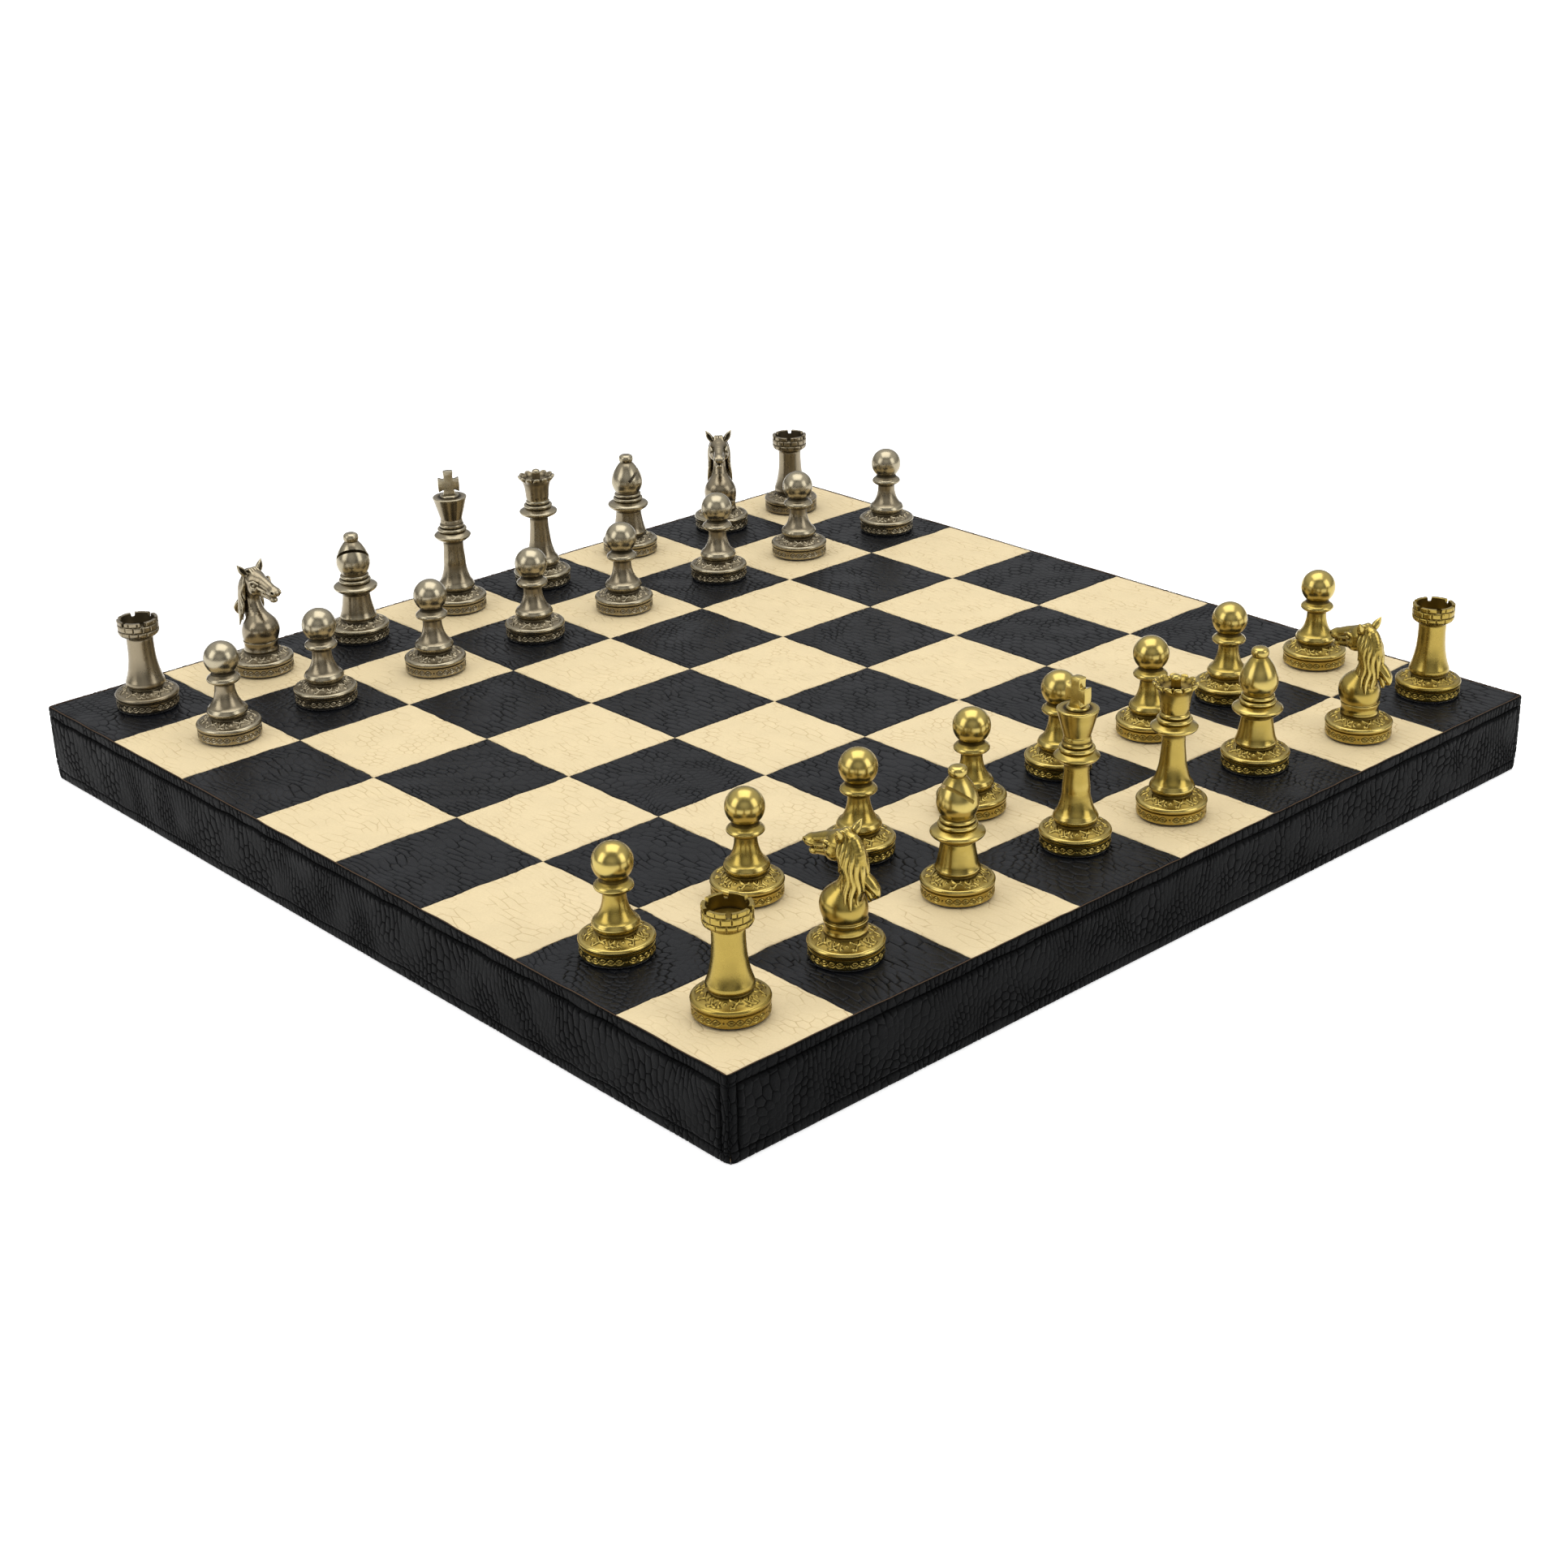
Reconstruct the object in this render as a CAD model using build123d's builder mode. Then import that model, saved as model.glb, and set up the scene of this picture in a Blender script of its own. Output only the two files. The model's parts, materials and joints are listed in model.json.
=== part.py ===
from build123d import *
from math import cos, radians, sin
import os

# Chess set with board: a leather-covered board and its 32 metal chessmen, set up for a game.
# Millimetres, +Z up. The origin is the middle of the board's underside. +X runs along the
# first ranks from the kings' side of the board to the queens', +Y from gold to silver.

os.makedirs("parts", exist_ok=True)

# ---------------------------------------------------------------- driving dimensions
SQUARE = 50.0  # one square of the board
SQUARES = 8  # squares along each side
BOARD_HEIGHT = 30.0  # underside to playing surface
LEATHER = 1.2  # leather of the squares
LINING = 1.0  # felt lining under the board
WRAP = 1.0  # leather round the sides
STRIP = 0.5  # raised strip on each side
STRIP_MARGIN = 4.0  # from the strip to the edges of its side
PANEL = 4.0  # fibreboard panels above and below the frame
RAIL_WIDTH = 24.0  # frame rails
RIB_WIDTH = 10.0  # ribs between the rails
RIBS = 3  # ribs each way
SEAM = 0.1  # gap between neighbouring squares

FOOT_RADIUS = 12.25  # every man's foot
FELT = 0.6  # felt disc under each foot
FELT_RADIUS = 11.4
NECK_HEIGHT = 9.2  # where each figure grows out of its foot
NECK_RADIUS = 6.8

FIELD = SQUARE * SQUARES
CORE_SIDE = FIELD - SEAM
CORE_BOTTOM = LINING
CORE_TOP = BOARD_HEIGHT - LEATHER
RAIL_BOTTOM = CORE_BOTTOM + PANEL
RAIL_HEIGHT = CORE_TOP - PANEL - RAIL_BOTTOM

# ---------------------------------------------------------------- the layout
# Each man's kind, file (0 to 7 along +X), shift from the middle of its square and heading in
# degrees. The men stand a little off centre, as hands leave them. Ranks run along +Y.
GOLD_OFFICERS = [
    ("rook", 0, (0, 1.5), 37),
    ("knight", 1, (-1, 3.5), 96),
    ("bishop", 2, (4, 9), 180),
    ("king", 3, (8.5, 7), 0),
    ("queen", 4, (0, 0), 0),
    ("bishop", 5, (3, 5.5), 50),
    ("knight", 6, (1.5, -4), 84),
    ("rook", 7, (3, 1.5), 34),
]
GOLD_PAWNS = [(0.5, 5.5), (6, 7), (3.5, 4), (5, 1.5), (1.5, 3), (0, 2), (-2, 4), (0, 2)]
SILVER_OFFICERS = [
    ("rook", 0, (3, -2), 0),
    ("knight", 1, (5.5, -1.5), -86),
    ("bishop", 2, (4, 2), -122),
    ("king", 3, (3.5, 1.5), 56),
    ("queen", 4, (-1.5, 1), 10),
    ("bishop", 5, (2, 6), -28),
    ("knight", 6, (4, 3), -131),
    ("rook", 7, (-6, -1), 31),
]
SILVER_PAWNS = [(9, -2.5), (4.5, 1.5), (4, -2), (5.5, 0), (2, -1), (6.5, 0.5), (2, -2), (3, -6)]


def square_middle(file, rank):
    """The middle of a square, from the middle of the board."""
    return (file + 0.5) * SQUARE - FIELD / 2, (rank + 0.5) * SQUARE - FIELD / 2


def write(part, name):
    """Labels a finished piece and writes its STEP file."""
    part.label = name
    export_step(part, f"parts/{name}.step")


# ---------------------------------------------------------------- the board
def slab(width, depth, height, bottom):
    """A plain rectangular piece, centred, from its bottom up."""
    with BuildPart() as piece:
        with BuildSketch(Plane.XY.offset(bottom)):
            Rectangle(width, depth)
        extrude(amount=height)
    return piece.part


def rail(side):
    """One of the four frame rails. The first pair runs the full width, the second between."""
    along_x = side in ("gold", "silver")
    sign = 1 if side in ("silver", "queenside") else -1
    length = CORE_SIDE if along_x else CORE_SIDE - 2 * RAIL_WIDTH
    middle = sign * (CORE_SIDE - RAIL_WIDTH) / 2
    with BuildPart() as piece:
        with BuildSketch(Plane.XY.offset(RAIL_BOTTOM)):
            with Locations((0, middle) if along_x else (middle, 0)):
                Rectangle(*((length, RAIL_WIDTH) if along_x else (RAIL_WIDTH, length)))
        extrude(amount=RAIL_HEIGHT)
    return piece.part


def core_ribs():
    """Long ribs along X, and short ribs that fill the bays between them along Y."""
    inside = CORE_SIDE - 2 * RAIL_WIDTH
    pitch = inside / (RIBS + 1)
    bay = pitch - RIB_WIDTH
    with BuildPart() as ribs:
        with BuildSketch(Plane.XY.offset(RAIL_BOTTOM)):
            with GridLocations(0, pitch, 1, RIBS):
                Rectangle(inside, RIB_WIDTH)
        extrude(amount=RAIL_HEIGHT)
    with BuildPart() as short:
        for row in range(RIBS + 1):
            end = RIB_WIDTH / 2 if row in (0, RIBS) else 0
            shift = end / 2 if row == 0 else -end / 2 if row == RIBS else 0
            y = (row - RIBS / 2) * pitch - shift
            with BuildSketch(Plane.XY.offset(RAIL_BOTTOM)):
                with Locations((0, y)):
                    with GridLocations(pitch, 0, RIBS, 1):
                        Rectangle(RIB_WIDTH, bay + end)
            extrude(amount=RAIL_HEIGHT)
    return Compound(children=[*ribs.part.solids(), *short.part.solids()])


def squares(light):
    """The 32 leather squares of one colour, each its own piece."""
    side = SQUARE - SEAM
    with BuildPart() as leather:
        with BuildSketch(Plane.XY.offset(CORE_TOP)):
            for file in range(SQUARES):
                for rank in range(SQUARES):
                    if ((file + rank) % 2 == 0) == light:
                        with Locations(square_middle(file, rank)):
                            Rectangle(side, side)
        extrude(amount=LEATHER)
    return leather.part


def side_plane(side):
    """The plane of the core's side face, its X along the side and its Y up."""
    turns = {"gold": -90, "queenside": 0, "silver": 90, "kingside": 180}
    turn = radians(turns[side])
    out = Vector(cos(turn), sin(turn), 0)
    along = Vector(-sin(turn), cos(turn), 0)
    return Plane(origin=out * (FIELD / 2), x_dir=along, z_dir=out)


def side_wrap(side):
    """The leather on one side. The first pair covers the ends of the second."""
    covers_ends = side in ("gold", "silver")
    width = FIELD + (2 * WRAP if covers_ends else 0)
    with BuildPart() as wrap:
        with BuildSketch(side_plane(side)):
            with Locations((0, BOARD_HEIGHT / 2)):
                Rectangle(width, BOARD_HEIGHT)
        extrude(amount=WRAP)
        if covers_ends:
            upright = wrap.edges().filter_by(Axis.Z).sort_by(Axis.Y)
            fillet(upright[:2] if side == "gold" else upright[-2:], radius=WRAP * 0.8)
    return wrap.part


def side_strip(side):
    """The raised leather strip on one side, with rounded corners."""
    width = FIELD + 2 * WRAP - 2 * STRIP_MARGIN
    height = BOARD_HEIGHT - 2 * STRIP_MARGIN
    with BuildPart() as strip:
        with BuildSketch(side_plane(side).offset(WRAP)):
            with Locations((0, BOARD_HEIGHT / 2)):
                RectangleRounded(width, height, 1.5)
        extrude(amount=STRIP)
    return strip.part


# ---------------------------------------------------------------- the chessmen
def turned(outline):
    """A solid of revolution about Z from a half outline whose ends lie on the axis."""
    with BuildPart() as solid:
        with BuildSketch(Plane.XZ):
            with BuildLine():
                add(outline)
                Line(outline @ 1, outline @ 0)
            make_face()
        revolve(axis=Axis.Z)
    return solid.part


def foot():
    """The round foot that every man shares: band, groove, rounded rim, sloping ledge, neck."""
    band, groove = FOOT_RADIUS - 0.25, FOOT_RADIUS - 0.55
    with BuildLine() as half:
        Polyline((0, FELT), (band - 0.4, FELT), (band, FELT + 0.4), (band, 4.1), (groove, 4.3))
        ThreePointArc((groove, 4.3), (FOOT_RADIUS, 5.3), (11.2, 6.4))
        Spline((11.2, 6.4), (9.2, 7.4), (NECK_RADIUS, 8.1), tangents=[(-1, 0.3), (-1, 0.25)])
        Polyline((NECK_RADIUS, 8.1), (NECK_RADIUS, NECK_HEIGHT), (0, NECK_HEIGHT))
    return turned(half.wire())


def collar(radius, middle, height, inner):
    """A rounded ring standing out from a stem."""
    with BuildPart() as ring:
        with BuildSketch(Plane.XZ):
            with BuildLine():
                low, high = (inner, middle - height / 2), (inner, middle + height / 2)
                ThreePointArc(low, (radius, middle), high)
                Polyline(high, (0, middle + height / 2), (0, middle - height / 2), low)
            make_face()
        revolve(axis=Axis.Z)
    return ring.part


def core(radius, bottom, top):
    """A plain round core that joins the rings round it."""
    with BuildPart() as middle:
        with BuildSketch(Plane.XY.offset(bottom)):
            Circle(radius)
        extrude(amount=top - bottom)
    return middle.part


def stem(bulge, bulge_height, waist, top):
    """A stem with a rounded skirt at its foot that sweeps up to a slender waist."""
    with BuildLine() as half:
        Line((0, NECK_HEIGHT - 0.2), (bulge - 1.1, NECK_HEIGHT - 0.2))
        ThreePointArc((bulge - 1.1, NECK_HEIGHT - 0.2), (bulge, bulge_height), (bulge - 0.6, 12))
        Spline(
            (bulge - 0.6, 12),
            (waist + 1.3, 15.3),
            (waist, top),
            tangents=[(-0.9, 1), (0, 1)],
        )
        Line((waist, top), (0, top))
    return turned(half.wire())


def pawn():
    """Stem, collar and ball."""
    ball_radius, ball_middle = 6.6, 31.2
    with BuildPart() as man:
        add(foot())
        add(stem(7.7, 10.7, 3.7, 22.5))
        add(collar(6.3, 23.4, 3.2, 4.2))
        with Locations((0, 0, ball_middle)):
            Sphere(ball_radius)
    return man.part


def rook():
    """A round tower with a walled top, hollow inside, and six gaps in the wall."""
    wall_outside, wall_inside, rim, floor = 7.85, 6.4, 36.0, 31.4
    gaps, gap_width, gap_depth = 6, 1.7, 1.7
    with BuildLine() as half:
        Line((0, NECK_HEIGHT - 0.2), (6.9, NECK_HEIGHT - 0.2))
        ThreePointArc((6.9, NECK_HEIGHT - 0.2), (7.5, 9.8), (7.35, 10.8))
        Spline((7.35, 10.8), (6.0, 15), (5.1, 24), (5.1, 27.4), tangents=[(-0.4, 1), (0, 1)])
        ThreePointArc((5.1, 27.4), (6.9, 28.7), (wall_outside, 30.4))
        Polyline((wall_outside, 30.4), (wall_outside, rim), (wall_inside, rim))
        Polyline((wall_inside, rim), (wall_inside, floor), (0, floor))
    with BuildPart() as man:
        add(foot())
        add(turned(half.wire()))
        with PolarLocations(wall_outside, gaps, start_angle=15):
            with Locations((0, 0, rim)):
                Box(4.5, gap_width, 2 * gap_depth, mode=Mode.SUBTRACT)
    return man.part


def bishop():
    """A straight cone, a wide collar, two rings and a slotted mitre with a button on top."""
    slot_width = 1.2
    with BuildLine() as cone:
        Polyline((0, NECK_HEIGHT - 0.2), (7.2, NECK_HEIGHT - 0.2), (7.5, 9.6))
        Spline((7.5, 9.6), (6.3, 15), (5.6, 19.5), tangents=[(-0.35, 1), (-0.1, 1)])
        Line((5.6, 19.5), (0, 19.5))
    with BuildLine() as head:
        Line((0, 27.5), (5.3, 27.5))
        Spline((5.3, 27.5), (6.9, 32.3), (3.1, 41.2), tangents=[(0.5, 1), (-0.55, 1)])
        Line((3.1, 41.2), (0, 41.2))
    with BuildPart() as man:
        add(foot())
        add(turned(cone.wire()))
        add(core(5.2, 19, 28))
        add(collar(9.0, 22.0, 5.2, 5.4))
        add(collar(6.6, 24.9, 1.9, 5.6))
        add(collar(5.9, 26.9, 1.7, 5.2))
        add(turned(head.wire()))
        add(core(2.4, 40, 42))
        add(collar(3.1, 43.1, 3.8, 1.2))
        slot = Plane(origin=(0, 0, 33.2), x_dir=(1, 0, 1), z_dir=(-1, 0, 1))
        with Locations(slot):
            Box(
                16,
                16,
                slot_width,
                align=(Align.MIN, Align.CENTER, Align.CENTER),
                mode=Mode.SUBTRACT,
            )
    return man.part


def crowned_stem(bulge, waist, collar_radius):
    """What the king and the queen share below their crowns: stem, collar and two rings."""
    with BuildPart() as lower:
        add(stem(bulge, 10.7, waist, 31))
        add(core(4.3, 31, 39))
        add(collar(collar_radius, 32.3, 4.4, waist))
        add(collar(6.1, 35.2, 2.0, 4.8))
        add(collar(5.0, 37.6, 2.6, 4.4))
    return lower.part


def queen():
    """A flaring crown with a scalloped rim, dished inside, and a short finial."""
    rim_radius, rim_height, petals = 7.5, 48.6, 12
    with BuildLine() as crown:
        Line((0, 37.6), (4.9, 37.6))
        Spline((4.9, 37.6), (5.3, 43.5), (rim_radius, rim_height - 1.8), tangents=[(0, 1), (1, 0.9)])
        Line((rim_radius, rim_height - 1.8), (rim_radius - 0.2, rim_height))
        Line((rim_radius - 0.2, rim_height), (4.6, 46.6))
        Line((4.6, 46.6), (0, 46.6))
    with BuildPart() as man:
        add(foot())
        add(crowned_stem(7.8, 4.0, 8.1))
        add(turned(crown.wire()))
        with PolarLocations(rim_radius + 0.9, petals):
            with Locations((0, 0, rim_height)):
                Cylinder(1.25, 5, mode=Mode.SUBTRACT)
        with Locations((0, 0, 46.6)):
            Cylinder(1.75, 4.4, align=(Align.CENTER, Align.CENTER, Align.MIN))
    return man.part


def king():
    """A plain flaring crown with a small disc and a thick cross of flared arms."""
    crown_top, disc_top, cross_top, thickness = 49.2, 50.2, 60.3, 3.4
    with BuildLine() as crown:
        Line((0, 38), (4.7, 38))
        Polyline((4.7, 38), (4.7, 39.5), (6.0, 46.9), (7.1, 48.2), (7.1, 48.8), (6.6, crown_top))
        Polyline((6.6, crown_top), (3.9, crown_top), (3.5, disc_top), (0, disc_top))
    half_cross = [
        (2.8, disc_top - 0.3),
        (1.6, 52.9),
        (4.4, 51.6),
        (4.4, 57.2),
        (1.5, 56.1),
        (2.1, cross_top),
        (-2.1, cross_top),
        (-1.5, 56.1),
        (-4.4, 57.2),
        (-4.4, 51.6),
        (-1.6, 52.9),
        (-2.8, disc_top - 0.3),
    ]
    with BuildPart() as man:
        add(foot())
        add(crowned_stem(7.7, 4.1, 7.7))
        add(turned(crown.wire()))
        with BuildSketch(Plane.YZ):
            with BuildLine():
                Polyline(*half_cross, close=True)
            make_face()
        extrude(amount=thickness / 2, both=True)
    return man.part


def lofted(sections):
    """A body through oval sections: (x, z) of each middle, its lean, width and depth."""
    with BuildPart() as body:
        for x, z, lean, width, depth in sections:
            up = Vector(sin(radians(lean)), 0, cos(radians(lean)))
            with BuildSketch(Plane(origin=(x, 0, z), x_dir=(0, 1, 0), z_dir=up)):
                Ellipse(width / 2, depth / 2)
        loft()
    return body.part


def mane():
    """The thick mane down the back of the neck, with its curl standing out behind."""
    with BuildPart() as locks:
        with BuildSketch(Plane.XZ):
            with BuildLine():
                Spline((-0.5, 42.6), (-5.2, 40.0), (-8.3, 32.5), (-12.6, 25.2))
                Polyline((-12.6, 25.2), (-10.6, 23.4), (-7.2, 24.6))
                Spline((-7.2, 24.6), (-6.2, 20.0), (-5.0, 17.0), (-2.0, 24.0), (-0.5, 42.6))
            make_face()
        extrude(amount=2.2, both=True)
    return locks.part


def knight():
    """A horse's head, neck and chest on a round drum. It faces +X."""
    with BuildLine() as drum:
        Line((0, NECK_HEIGHT - 0.2), (6.9, NECK_HEIGHT - 0.2))
        ThreePointArc((6.9, NECK_HEIGHT - 0.2), (6.7, 10.8), (7.0, 13.0))
        Polyline((7.0, 13.0), (6.7, 13.4), (0, 13.4))
    chest = [
        (0.0, 13.0, 0, 13.8, 13.4),
        (0.5, 17.5, 5, 14.6, 14.6),
        (-0.8, 22.0, -15, 11.5, 12.2),
        (-2.4, 28.0, -5, 7.6, 9.0),
        (-1.4, 35.0, 15, 7.4, 8.6),
        (0.6, 40.2, 30, 6.4, 6.0),
    ]
    head = [
        (-2.6, 39.6, 112, 6.0, 5.2),
        (1.6, 38.4, 112, 9.4, 8.4),
        (5.4, 37.0, 114, 7.6, 7.0),
        (9.6, 35.6, 114, 5.0, 4.8),
        (13.2, 34.6, 114, 5.2, 4.8),
        (15.0, 34.2, 114, 3.4, 3.0),
    ]
    with BuildPart() as man:
        add(foot())
        add(turned(drum.wire()))
        add(lofted(chest))
        add(lofted(head))
        add(mane())
        for side in (-1, 1):
            lean = Plane(origin=(-1.6, side * 2.9, 39.6), x_dir=(1, 0, 0.2), z_dir=(-0.2, side * 0.35, 1))
            with Locations(lean):
                Cone(1.6, 0.25, 5.4, align=(Align.CENTER, Align.CENTER, Align.MIN))
        mouth = Plane(origin=(10.4, 0, 33.4), x_dir=(1, 0, -0.55), z_dir=(0.55, 0, 1))
        with Locations(mouth):
            Box(8, 8, 0.9, align=(Align.MIN, Align.CENTER, Align.CENTER), mode=Mode.SUBTRACT)
    return man.part


def felt_disc():
    """The felt under a man's foot."""
    with BuildPart() as disc:
        Cylinder(FELT_RADIUS, FELT, align=(Align.CENTER, Align.CENTER, Align.MIN))
    return disc.part


# ---------------------------------------------------------------- making the pieces
write(slab(CORE_SIDE, CORE_SIDE, LINING, 0), "bottom_lining")
write(slab(CORE_SIDE, CORE_SIDE, PANEL, CORE_BOTTOM), "bottom_panel")
write(slab(CORE_SIDE, CORE_SIDE, PANEL, CORE_TOP - PANEL), "top_panel")
write(core_ribs(), "core_ribs")
write(squares(light=True), "light_squares")
write(squares(light=False), "dark_squares")
for side in ("gold", "silver", "kingside", "queenside"):
    write(rail(side), f"frame_rail_{side}")
    write(side_wrap(side), f"side_wrap_{side}")
    write(side_strip(side), f"side_strip_{side}")

KINDS = {"pawn": pawn(), "rook": rook(), "knight": knight()}
KINDS.update({"bishop": bishop(), "queen": queen(), "king": king()})
FELT_DISC = felt_disc()


def place_man(name, kind, file, rank, shift, heading):
    """One man with its felt, standing on its square."""
    x, y = square_middle(file, rank)
    spot = Location((x + shift[0], y + shift[1], BOARD_HEIGHT), (0, 0, heading))
    casting, felt = KINDS[kind].solids(), FELT_DISC.solids()
    write(Compound(children=[s.moved(spot) for s in [*casting, *felt]]), name)


for colour, officers, pawns, home, front in (
    ("gold", GOLD_OFFICERS, GOLD_PAWNS, 0, 1),
    ("silver", SILVER_OFFICERS, SILVER_PAWNS, 7, 6),
):
    for kind, file, shift, heading in officers:
        place_man(f"{colour}_{kind}_{file + 1}", kind, file, home, shift, heading)
    for file, shift in enumerate(pawns):
        place_man(f"{colour}_pawn_{file + 1}", "pawn", file, front, shift, 0)
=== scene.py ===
"""Looks of the chess set with board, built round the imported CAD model.

Shapes are worked out in millimetres and turned into metres when a mesh is made.
"""

import json
from math import atan2, cos, pi, radians, sin, sqrt, tau

import bmesh
import bpy
import numpy as np
from mathutils import Matrix, Vector
from mathutils.geometry import delaunay_2d_cdt

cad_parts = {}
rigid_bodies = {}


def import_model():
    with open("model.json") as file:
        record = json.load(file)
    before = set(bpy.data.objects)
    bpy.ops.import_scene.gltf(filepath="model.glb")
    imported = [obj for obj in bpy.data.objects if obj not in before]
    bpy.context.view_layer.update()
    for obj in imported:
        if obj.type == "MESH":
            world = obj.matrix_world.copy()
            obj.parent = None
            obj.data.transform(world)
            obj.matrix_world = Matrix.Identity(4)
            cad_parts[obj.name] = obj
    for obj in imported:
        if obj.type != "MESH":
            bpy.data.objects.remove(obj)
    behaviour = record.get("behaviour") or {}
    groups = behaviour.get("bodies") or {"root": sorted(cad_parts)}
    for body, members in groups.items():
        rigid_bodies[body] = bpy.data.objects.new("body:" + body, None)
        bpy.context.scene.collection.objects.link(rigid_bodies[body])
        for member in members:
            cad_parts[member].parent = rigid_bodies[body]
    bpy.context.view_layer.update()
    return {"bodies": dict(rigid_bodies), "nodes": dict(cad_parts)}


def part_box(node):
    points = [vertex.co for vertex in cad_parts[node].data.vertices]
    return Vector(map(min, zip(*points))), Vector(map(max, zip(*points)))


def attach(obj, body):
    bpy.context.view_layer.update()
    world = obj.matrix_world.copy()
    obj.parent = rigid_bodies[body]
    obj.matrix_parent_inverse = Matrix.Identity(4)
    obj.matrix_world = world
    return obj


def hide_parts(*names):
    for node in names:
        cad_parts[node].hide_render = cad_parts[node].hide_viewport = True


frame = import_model()

MM = 0.001

# ---------------------------------------------------------------- sizes, in millimetres
SQUARE = 50.0
SQUARES = 8
FIELD = SQUARE * SQUARES
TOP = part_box("light_squares")[1].z / MM
LEATHER_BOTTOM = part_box("light_squares")[0].z / MM
SEAM = 0.1
CORE_FACE = FIELD / 2 - 0.04
SIDE_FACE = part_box("side_wrap_silver")[1].y / MM
STRIP_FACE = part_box("side_strip_silver")[1].y / MM
STRIP_MARGIN = 4.0
PANEL_END_MARGIN = 3.4
CORNER_RADIUS = 2.0
LOW_CORNER_GROWTH = 1.3
LOW_CORNER_HEIGHT = 9.0
LOW_ROLL, LOW_PULL = 2.6, 0.55
TOP_ROLL, TOP_PULL = 0.9, 0.5
SIDE_SCALE_DEPTH = 0.34
PRESSED_LINE_DEPTH = 0.4
IVORY_SCALE_DEPTH, BLACK_SCALE_DEPTH = 0.17, 0.42
SQUARE_EDGE_DROP = 0.32

FOOT_RADIUS = 12.25
FELT = 0.6
FELT_RADIUS = 11.4
NECK_HEIGHT = 9.2
NECK_RADIUS = 6.8
ORNAMENTS = 5
ORNAMENT_TURN = 360 / ORNAMENTS

# How far each man is turned, in degrees, as part.py turns it.
HEADINGS = {
    "gold_rook_1": 37, "gold_knight_2": 96, "gold_bishop_3": 180, "gold_king_4": 0,
    "gold_queen_5": 0, "gold_bishop_6": 50, "gold_knight_7": 84, "gold_rook_8": 34,
    "silver_rook_1": 0, "silver_knight_2": -86, "silver_bishop_3": -122, "silver_king_4": 56,
    "silver_queen_5": 10, "silver_bishop_6": -28, "silver_knight_7": -131, "silver_rook_8": 31,
}
# Where the ornament of each kind's foot starts, in degrees from the man's own front.
ORNAMENT_STARTS = {"pawn": 0, "rook": 37, "knight": 60, "bishop": 20, "queen": 1, "king": 9}


# ---------------------------------------------------------------- outlines
def line(start, end, steps):
    """Points along a straight line, both ends included."""
    share = np.linspace(0, 1, steps + 1)[:, None]
    return np.array(start) * (1 - share) + np.array(end) * share


def arc(start, middle, end, steps):
    """Points along the circular arc through three points."""
    (ax, ay), (bx, by), (cx, cy) = start, middle, end
    d = 2 * (ax * (by - cy) + bx * (cy - ay) + cx * (ay - by))
    a2, b2, c2 = ax * ax + ay * ay, bx * bx + by * by, cx * cx + cy * cy
    x = (a2 * (by - cy) + b2 * (cy - ay) + c2 * (ay - by)) / d
    y = (a2 * (cx - bx) + b2 * (ax - cx) + c2 * (bx - ax)) / d
    first, mid, last = atan2(ay - y, ax - x), atan2(by - y, bx - x), atan2(cy - y, cx - x)
    turn = (last - first) % tau
    if (mid - first) % tau > turn:
        turn -= tau
    angles = first + turn * np.linspace(0, 1, steps + 1)
    radius = sqrt((ax - x) ** 2 + (ay - y) ** 2)
    return np.stack([x + radius * np.cos(angles), y + radius * np.sin(angles)], 1)


def curve(points, steps):
    """A smooth curve through its points, each stretch divided into steps."""
    p = np.array(points, float)
    ends = np.concatenate([[2 * p[0] - p[1]], p, [2 * p[-1] - p[-2]]])
    rows = []
    for i in range(len(p) - 1):
        a, b, c, d = ends[i:i + 4]
        t = np.linspace(0, 1, steps, endpoint=False)[:, None]
        rows.append(
            0.5 * (2 * b + (c - a) * t + (2 * a - 5 * b + 4 * c - d) * t**2 + (3 * b - a - 3 * c + d) * t**3)
        )
    return np.concatenate([*rows, p[-1:]])


def outline(*stretches):
    """One outline from stretches that follow each other, without doubled points."""
    points = np.concatenate(stretches)
    gaps = np.hypot(*np.diff(points, axis=0).T)
    return points[np.concatenate([[True], gaps > 1e-6])]


def smoothstep(x, low=0.0, high=1.0):
    """0 below low, 1 above high and a smooth rise between."""
    t = np.clip((x - low) / (high - low), 0, 1)
    return t * t * (3 - 2 * t)


def ripple(x, y, length, seed):
    """Smooth noise, mostly from -1 to 1, with humps about length across, the same for a seed."""
    rng = np.random.default_rng(seed)
    total = 0.0
    for _ in range(7):
        angle, phase, stretch = rng.uniform(0, tau), rng.uniform(0, tau), rng.uniform(0.7, 1.6)
        along = x * cos(angle) + y * sin(angle)
        total = total + np.sin(along * pi / (length * stretch) + phase)
    return total / 2.6


# ---------------------------------------------------------------- meshes
def build_mesh(name, points, quads, triangles, layers=None, sharp=40):
    """A mesh from points in millimetres. layers holds a number for every point, by name."""
    mesh = bpy.data.meshes.new(name)
    corners = np.concatenate([quads.ravel(), triangles.ravel()]).astype(np.int32)
    counts = np.concatenate([np.full(len(quads), 4), np.full(len(triangles), 3)])
    starts = np.concatenate([[0], np.cumsum(counts)[:-1]]).astype(np.int32)
    mesh.vertices.add(len(points))
    mesh.vertices.foreach_set("co", (points * MM).astype(np.float32).ravel())
    mesh.loops.add(len(corners))
    mesh.loops.foreach_set("vertex_index", corners)
    mesh.polygons.add(len(counts))
    mesh.polygons.foreach_set("loop_start", starts)
    mesh.update(calc_edges=True)
    for key, values in (layers or {}).items():
        layer = mesh.attributes.new(key, "FLOAT", "POINT")
        layer.data.foreach_set("value", values.astype(np.float32))
    shade(mesh, sharp)
    return mesh


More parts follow.
